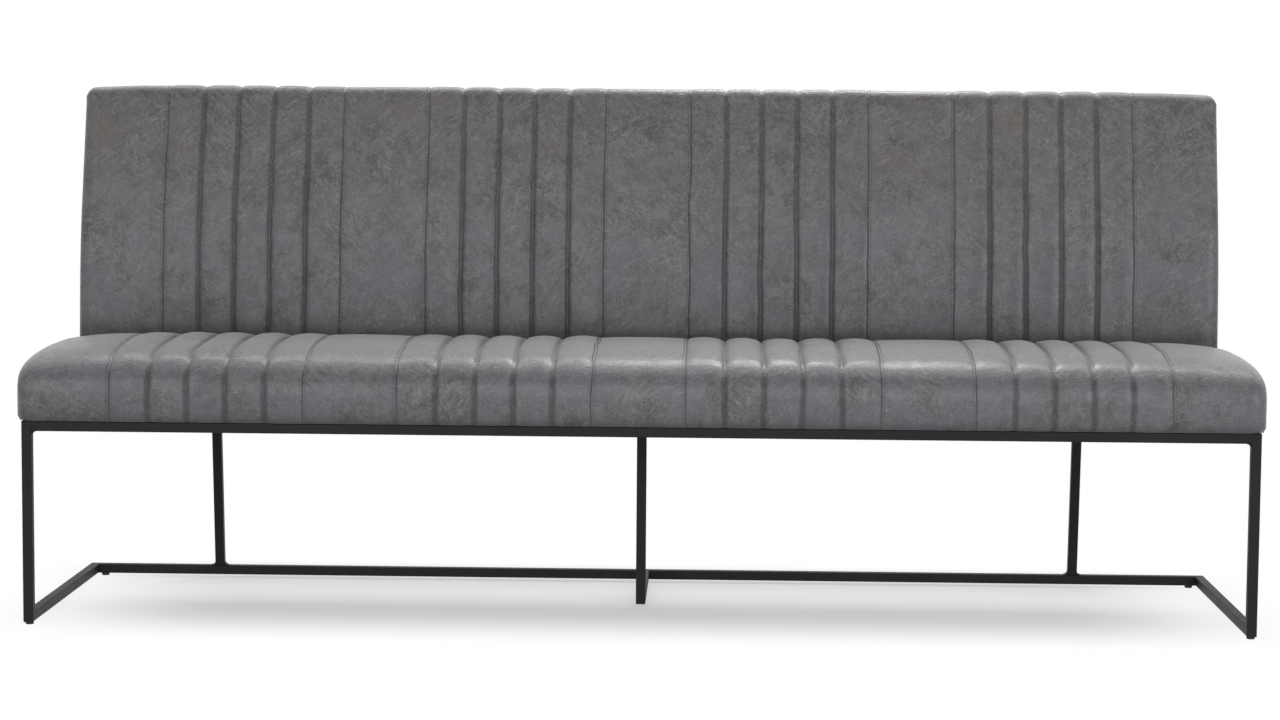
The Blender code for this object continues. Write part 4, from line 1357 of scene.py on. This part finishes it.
@dataclass
class BackPad(PaddedLoft):
    """Backrest: upright below, leaning back above a smooth bend, round at the top, open over the timber."""

    hem: float = span("back_cover", Axis.Z)[0]
    top: float = 0.966
    face: float = 0.500
    recline: float = math.radians(17.2)
    bend_height: float = 0.660
    bend_length: float = 0.100
    base_depth: float = 0.092
    top_depth: float = 0.063
    top_round: float = 0.029
    rear_round: float = 0.010
    top_wall: float = 0.012
    end_wall: float = 0.010
    timber_depth: float = 0.0374
    end_droop: float = 0.005
    end_draw: float = 0.002
    end_draw_reach: float = 0.120
    draw_room: float = 0.03
    rim_drop: float = 0.0015
    rim_step: float = 0.0005
    # painted shade on the leather where the back meets the seat
    painted_shade_share: float = 0.62
    painted_shade_start: float = 0.11
    painted_shade_reach: float = 0.018
    # the painted shade in the seams pales towards the top
    pale_path: tuple[float, float] = (0.15, 0.55)
    pale_shares: tuple[float, float] = (1.0, 0.6)
    edge_path: float = 0.03
    face_rows: int = 65
    edge_rows: int = 40
    inner_rows: int = 14
    reach_shares: tuple[float, ...] = (0.75, 1.0, 1.0, 0.7, 0.35, 0.05)

    def front_at(self, z: Array) -> Array:
        """Depth of the face: face + tan(recline) / 2 * (h + hypot(h, bend)), h counted from the bend."""
        above = z - self.bend_height
        return self.face + math.tan(self.recline) / 2 * (above + np.hypot(above, self.bend_length))

    def rear_at(self, z: Array) -> Array:
        """Depth of the flat rear, a straight line between the depths at the bottom and at the top.

        Args:
            z: heights.

        Returns:
            The depths.
        """
        low = self.face + self.base_depth
        high = self.front_at(np.array(self.top)) + self.top_depth
        return low + (z - self.hem) / (self.top - self.hem) * (high - low)

    def outline(self) -> tuple[Array, Array]:
        """Draw the face, round top edge, level top, round rear edge and rear lip.

        Returns:
            The (Y, Z) pairs, and the share of the quilting's swelling at each of them.
        """
        below, above = self.front_at(np.array([self.top - 0.002, self.top]))
        lean = math.atan((above - below) / 0.002)
        contact = self.top - self.top_round * (1 - math.sin(lean))
        height = np.linspace(self.board_top, contact, 300)
        face = np.stack([self.front_at(height), height], -1)
        middle = np.array([face[-1, 0] + self.top_round * math.cos(lean), self.top - self.top_round])
        turn = np.linspace(math.pi - lean, math.pi / 2, 40)
        edge = middle + self.top_round * np.stack([np.cos(turn), np.sin(turn)], -1)
        rear_y = float(self.rear_at(np.array(self.top - self.rear_round)))
        turn = np.linspace(math.pi / 2, 0, 16)
        corner = np.array([rear_y - self.rear_round, self.top - self.rear_round])
        over = corner + self.rear_round * np.stack([np.cos(turn), np.sin(turn)], -1)
        rim_z = self.top - self.top_wall - self.rim_drop
        rim = np.array([[float(self.rear_at(np.array(rim_z))), rim_z]])
        curve = np.concatenate([face, edge[1:], over, rim])
        path = along(curve)
        tall, turned, total = path[len(face) - 1], path[len(face) + len(edge) - 2], path[-1]
        low = np.linspace(0, tall - self.edge_path, self.face_rows, endpoint=False)
        marks = np.concatenate([low, np.linspace(tall - self.edge_path, total, self.edge_rows)])
        stops = [0.0, 0.08, tall - 0.02, turned, turned + self.edge_path, total]
        return resample(curve, marks), np.interp(marks, stops, self.reach_shares)

    def painted_shade_by_row(self, path: Array) -> tuple[Array, Array]:
        """Painted shade in the seams that pales towards the top, and on the leather where it meets the seat.

        Args:
            path: distance along the skin.

        Returns:
            The share of the seams' painted shade, and the painted shade on the leather itself.
        """
        seams = np.interp(path, self.pale_path, self.pale_shares)
        above = np.clip(path - self.painted_shade_start, 0, None)
        return seams, self.painted_shade_share * np.exp(-above / self.painted_shade_reach)

    def shape(self, x: Array, skin: Array) -> Array:
        """Round, droop and draw in the ends, and go down inside, over the timber.

        Near the ends the face moves back and the top moves down by a quarter circle and a slow
        droop. The inner side follows the plywood's front, or, inside the end walls, the rear.

        Args:
            x: columns.
            skin: (columns, rows, 2) pairs of Y and Z.

        Returns:
            A (columns, points, 3) array whose first rows are the skin.
        """
        from_end = self.layout.half_width - np.abs(x)
        inset = self.end_round * quarter(from_end, self.end_round)
        near = np.clip(1 - from_end / self.end_draw_reach, 0, 1)
        sunk = inset + self.end_droop * near**self.droop_power
        y, z = skin[:, :, 0], skin[:, :, 1]
        tilt = np.clip((z - (self.top - self.top_round)) / self.top_round, 0, 1)
        room = np.clip((self.rear_at(z) - y) / self.draw_room, 0, 1)
        y = y + inset[:, None] * (1 - tilt) * room
        z = z - sunk[:, None] * tilt
        low = np.where(np.abs(x) < self.board_half, self.board_top, self.hem)
        z[:, 0] = low
        outer = np.stack([self.drawn(x, near, z), y, z], -1)
        hollow = np.abs(x) < self.layout.half_width - self.end_wall
        rim = z[:, -1:] - self.rim_step
        inner_z = rim + (low[:, None] - rim) * np.linspace(0, 1, self.inner_rows)[None, :]
        rear_y = self.rear_at(inner_z)
        inner_y = np.where(hollow[:, None], rear_y - self.timber_depth, rear_y)
        inner = np.stack([self.drawn(x, near, inner_z), inner_y, inner_z], -1)
        rings = np.concatenate([outer, inner], axis=1)
        rings[:, :, 1] += FRONT_Y
        return rings

    def end_face(self, z: Array) -> Array:
        """A wall that is pulled in most at half height."""
        return self.drawn(np.full(len(z), self.layout.half_width), np.ones(len(z)), z)

    def drawn(self, x: Array, near: Array, z: Array) -> Array:
        """X of the points after the ends are pulled in, most at half height.

        Args:
            x: columns.
            near: share of the pull in each column.
            z: (columns, points) heights.

        Returns:
            A (columns, points) array.
        """
        share = np.clip((z - self.hem) / (self.top - self.hem), 0, 1)
        return x[:, None] - (np.sign(x) * self.end_draw * near)[:, None] * 4 * share * (1 - share)


# Plain pieces


@dataclass
class RearPanel:
    """Leather-covered panel that closes the backrest behind, slightly crowned, with soft edges."""

    back: BackPad
    half: float = span("back_rear_panel", Axis.X)[1]
    low: float = span("back_rear_panel", Axis.Z)[0]
    high: float = span("back_rear_panel", Axis.Z)[1]
    thickness: float = 0.005
    crown: float = 0.002
    edge: float = 0.0026
    margin: float = 0.01
    uneven: float = 0.0004
    rows: int = 42
    columns: int = 120

    def build(self) -> bpy.types.Object:
        """Make the panel from upright sections along X.

        The outer side is the flat rear plus crown * 4 s (1 - s), s running up the panel, less a
        quarter circle at the four edges, with a slight unevenness. The inner side is flat.

        Returns:
            The finished piece.
        """
        rng = np.random.default_rng(SEED + 40)
        bend = self.edge * (1 - np.sin(np.linspace(0, np.pi / 2, 7)))
        up = np.linspace(self.low + self.margin, self.high - self.margin, self.rows)
        z = np.concatenate([self.low + bend[::-1], up, self.high - bend])
        ends = self.half - bend
        flat = np.linspace(-self.half + self.margin, self.half - self.margin, self.columns)
        x = np.concatenate([-ends[::-1], flat, ends])
        share = (z - self.low) / (self.high - self.low)
        round_z = quarter(np.minimum(z - self.low, self.high - z), self.edge)
        round_x = quarter(self.half - np.abs(x), self.edge)
        bulge = self.crown * 4 * share * (1 - share)
        waviness = waves(rng, x, (0.9, 0.5, 0.3), 5).T @ waves(rng, z, (0.5, 0.27), 5) * self.uneven / 2
        lowered = self.edge * np.maximum(round_z[None, :], round_x[:, None])
        calm = (1 - round_z[None, :]) * (1 - round_x[:, None])
        outer_y = self.back.rear_at(z)[None, :] + bulge[None, :] + waviness * calm - lowered
        inner_y = np.broadcast_to((self.back.rear_at(z) - self.thickness)[::-1], outer_y.shape)
        depth = np.concatenate([outer_y, inner_y], axis=1) + FRONT_Y
        height = np.broadcast_to(np.concatenate([z, z[::-1]]), depth.shape)
        across = np.broadcast_to(x[:, None], depth.shape)
        piece = closed_loft("rear_panel", np.stack([across, depth, height], -1))
        LEATHER.cover(piece)
        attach(piece, BODY)
        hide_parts("back_rear_panel")
        return piece


@dataclass
class Lining:
    """Thin cloth stapled under the seat board, hanging a little between the rails."""

    half: float = span("seat_lining", Axis.X)[1]
    front: float = span("seat_lining", Axis.Y)[0]
    rear: float = span("seat_lining", Axis.Y)[1]
    base: float = span("seat_lining", Axis.Z)[0]
    corner: float = 0.017
    thickness: float = 0.0008
    sag: float = 0.0035
    rear_sag: float = 0.3
    ripple: float = 0.0004
    columns: int = 221
    rows: int = 71

    @staticmethod
    def bay(where: Array, low: float, high: float) -> Array:
        """Half a sine wave, a little fuller, between two supports and 0 outside them."""
        return np.sin(np.pi * np.clip((where - low) / (high - low), 0, 1)) ** 0.7

    def build(self) -> bpy.types.Object:
        """Make the cloth as a closed sheet that lies on the rails and sags by a half sine in each bay.

        Its front corners are quarter circles, as the board's are.

        Returns:
            The finished piece.
        """
        rng = np.random.default_rng(SEED + 60)
        x = np.linspace(-self.half, self.half, self.columns)
        y = np.linspace(self.front, self.rear, self.rows) + FRONT_Y
        middle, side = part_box("seat_rail_centre")[1].x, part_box("seat_rail_right")[0].x
        front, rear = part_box("seat_rail_front")[1].y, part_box("seat_rail_rear")
        wide = self.bay(np.abs(x), middle, side)
        behind = self.bay(y, rear[1].y, self.rear + FRONT_Y)
        deep = self.bay(y, front, rear[0].y) + self.rear_sag * behind
        hang = wide[:, None] * deep[None, :]
        folds = waves(rng, x, (0.19, 0.11, 0.07), 4).T @ waves(rng, y, (0.31, 0.17), 4)
        low = self.base - hang * (self.sag + np.abs(folds) * self.ripple)
        height = np.concatenate([low + self.thickness, low[:, ::-1]], axis=1)
        depth = np.broadcast_to(np.concatenate([y, y[::-1]]), height.shape)
        inset = self.corner * quarter(y - y[0], self.corner)
        across = x[:, None] * (1 - np.concatenate([inset, inset[::-1]])[None, :] / self.half)
        piece = closed_loft("lining_cloth", np.stack([across, depth, height], -1))
        LINING.cover(piece)
        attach(piece, BODY)
        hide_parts("seat_lining")
        return piece


# Camera, light and floor


@dataclass(frozen=True)
class PhotoCamera:
    """Camera at the photograph's place: it looks along +Y, turned by three small angles."""

    place: tuple[float, float, float] = (0.13315, -5.05551, 0.93099)
    pitch: float = 0.08749
    yaw: float = 0.02577
    roll: float = 0.00991
    focal_pixels: float = 2871.87
    sensor: float = 36.0

    def build(self) -> None:
        """Make the camera and the scene use it."""
        aside = Matrix.Rotation(self.roll, 3, "Z") @ Matrix.Rotation(self.yaw, 3, "Y")
        turn = aside @ Matrix.Rotation(self.pitch, 3, "X")
        axes = turn @ Matrix(((1, 0, 0), (0, 0, -1), (0, 1, 0)))
        flip = Matrix(((1, 0, 0), (0, -1, 0), (0, 0, -1)))
        data = bpy.data.cameras.new("photo_camera")
        data.sensor_fit = "HORIZONTAL"
        data.sensor_width = self.sensor
        data.lens = self.focal_pixels * self.sensor / IMAGE_WIDTH
        camera = bpy.data.objects.new("photo_camera", data)
        where = Vector(self.place) + Vector((0, FRONT_Y, 0))
        camera.matrix_world = Matrix.Translation(where) @ (flip @ axes).transposed().to_4x4()
        bpy.context.scene.collection.objects.link(camera)
        bpy.context.scene.camera = camera


@dataclass(frozen=True)
class Softbox:
    """A rectangular studio light that looks at a point."""

    name: str
    place: tuple[float, float, float]
    aim: tuple[float, float, float]
    size: tuple[float, float]
    power: float

    def build(self) -> None:
        """Add the light."""
        data = bpy.data.lights.new(self.name, "AREA")
        data.shape = "RECTANGLE"
        data.size, data.size_y = self.size
        data.energy = self.power
        light = bpy.data.objects.new(self.name, data)
        light.location = self.place
        light.rotation_euler = (Vector(self.aim) - Vector(self.place)).to_track_quat("-Z", "Y").to_euler()
        bpy.context.scene.collection.objects.link(light)


@dataclass(frozen=True)
class Studio:
    """White floor and backdrop with softboxes behind and to the sides."""

    floor_half: float = 14.0
    room: float = 0.24
    backdrop: float = 0.62
    near_paper: float = 0.86
    # darker floor colour behind: a painted shadow under the rear of the bench
    painted_shadow_paper: float = 0.44
    painted_shadow_turn: tuple[float, float] = (0.0, 0.18)
    shadow_front: tuple[float, float] = (-0.47, -0.12)
    shadow_rear: tuple[float, float] = (0.46, 0.30)
    shadow_side: tuple[float, float] = (1.25, 0.75)
    shadow_kept: float = 0.66
    shadow_eased: float = 0.16
    ease_turn: tuple[float, float] = (-0.09, 0.0)
    softboxes: tuple[Softbox, ...] = (
        Softbox("rear_box", (0.15, 1.25, 2.25), (0.1, -0.25, 0.48), (3.4, 0.62), 31.0),
        Softbox("spark_box", (0.34, 1.28, 2.12), (0.2, -0.25, 0.48), (0.90, 0.5), 13.0),
        Softbox("front_box", (-1.0, -5.2, 1.95), (0.0, 0.0, 0.65), (5.0, 3.5), 152.0),
        Softbox("right_box", (3.2, -3.6, 1.4), (0.2, 0.0, 0.6), (2.2, 2.0), 60.0),
    )

    @staticmethod
    def seen(nodes: Nodes) -> Value:
        """Tell what the camera sees from what lights the bench.

        Args:
            nodes: the node tree of the world or of the floor.

        Returns:
            1 for rays that are seen, directly, in a gloss or through glass, and 0 for the others.
        """
        path = nodes.node("ShaderNodeLightPath")
        kinds = ("Camera", "Glossy", "Transmission")
        direct, gloss, glass = (Value(nodes, path.outputs[f"Is {kind} Ray"]) for kind in kinds)
        return direct.at_least(gloss).at_least(glass)

    def world(self) -> None:
        """White where it is seen; as light, a bright backdrop low behind the bench and a dim room."""
        world = bpy.data.worlds.new("studio")
        bpy.context.scene.world = world
        world.use_nodes = True
        nodes = Nodes(world.node_tree)
        seen = self.seen(nodes)
        direction = nodes.node("ShaderNodeTexCoord").outputs["Generated"]
        axes = nodes.node("ShaderNodeSeparateXYZ", None, {0: direction})
        away, up = (Value(nodes, axes.outputs[k]) for k in ("Y", "Z"))
        behind = away.step(0.0, 0.7) * up.step(0.85, 0.7)
        strength = seen + (1 - seen) * (behind * self.backdrop + self.room)
        background = world.node_tree.nodes["Background"]
        background.inputs["Color"].default_value = (1.0, 1.0, 1.0, 1.0)
        nodes.tree.links.new(strength.socket, background.inputs["Strength"])

    def floor(self) -> None:
        """White floor, darker behind as a painted shadow, that keeps the shadow near the bench and melts into
        the backdrop.
        """
        half = self.floor_half
        points = np.array([[-half, -half, 0], [half, -half, 0], [half, half, 0], [-half, half, 0]], float)
        piece = mesh_piece("studio_floor", points, [np.array([[0, 1, 2, 3]])])
        material = bpy.data.materials.new("studio_floor")
        material.use_nodes = True
        nodes = Nodes(material.node_tree)
        shader = material.node_tree.nodes["Principled BSDF"]
        axes = nodes.node("ShaderNodeSeparateXYZ", None, {0: nodes.place()})
        along_x, along_y = (Value(nodes, axes.outputs[k]) for k in ("X", "Y"))
        zone = along_y.step(*self.shadow_front) * along_y.step(*self.shadow_rear)
        zone = zone * abs(along_x).step(*self.shadow_side)
        kept = zone * (self.shadow_kept - along_y.step(*self.ease_turn) * self.shadow_eased)
        near, far = ((shade, shade, shade, 1.0) for shade in (self.near_paper, self.painted_shadow_paper))
        # the darker colour behind the bench is a painted shadow
        paper_with_painted_shadow = nodes.mix(along_y.step(*self.painted_shadow_turn), near, far)
        Finish.join(nodes, shader, Base_Color=paper_with_painted_shadow, Roughness=0.9)
        glow = nodes.node("ShaderNodeEmission", None, {"Color": (1, 1, 1, 1), "Strength": 1.0})
        fade = (1 - kept) * self.seen(nodes)
        sockets = {0: fade, 1: shader.outputs[0], 2: glow.outputs[0]}
        mixed = nodes.node("ShaderNodeMixShader", None, sockets)
        output = material.node_tree.nodes["Material Output"]
        nodes.tree.links.new(mixed.outputs[0], output.inputs["Surface"])
        piece.data.materials.append(material)

    def build(self) -> None:
        """Add the world, the floor and the lights."""
        bpy.context.scene.view_settings.view_transform = "Standard"
        self.world()
        self.floor()
        for box in self.softboxes:
            box.build()


# The bench


@dataclass(frozen=True)
class FrameFinish:
    """Finishes of the CAD pieces by the start of their names; the first that fits holds."""

    finishes: tuple[tuple[str, Finish], ...] = (
        ("glide", GLIDE),
        ("seat_screw", ZINC),
        ("back_screw", ZINC),
        ("seat_lining", LINING),
        ("seat_board", PLY),
        ("back_", PLY),
        ("", COAT),
    )

    def build(self) -> None:
        """Cover every CAD node."""
        for name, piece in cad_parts.items():
            next(finish for start, finish in self.finishes if name.startswith(start)).cover(piece)


def main() -> None:
    """Build the bench's pieces in order and report each one."""
    logging.basicConfig(level=logging.INFO, format="%(name)s: %(message)s")
    PhotoCamera().build()
    Studio().build()
    FrameFinish().build()
    seat = SeatPad(
        layout=SewnLayout(crown_power=3.5),
        name="seat_pad",
        replaced=("seat_cover", "seat_foam"),
        end_round=0.028,
        rise=0.0065,
    )
    back = BackPad(
        layout=SewnLayout(),
        name="back_pad",
        replaced=("back_cover", "back_foam"),
        end_round=0.014,
        rise=0.0062,
        slack=0.2,
        seed=SEED + 20,
    )
    for maker in (seat, back, RearPanel(back), Lining()):
        piece = maker.build()
        LOG.info("%s: %d points", piece.name, len(piece.data.vertices))


if __name__ == "__main__":
    main()
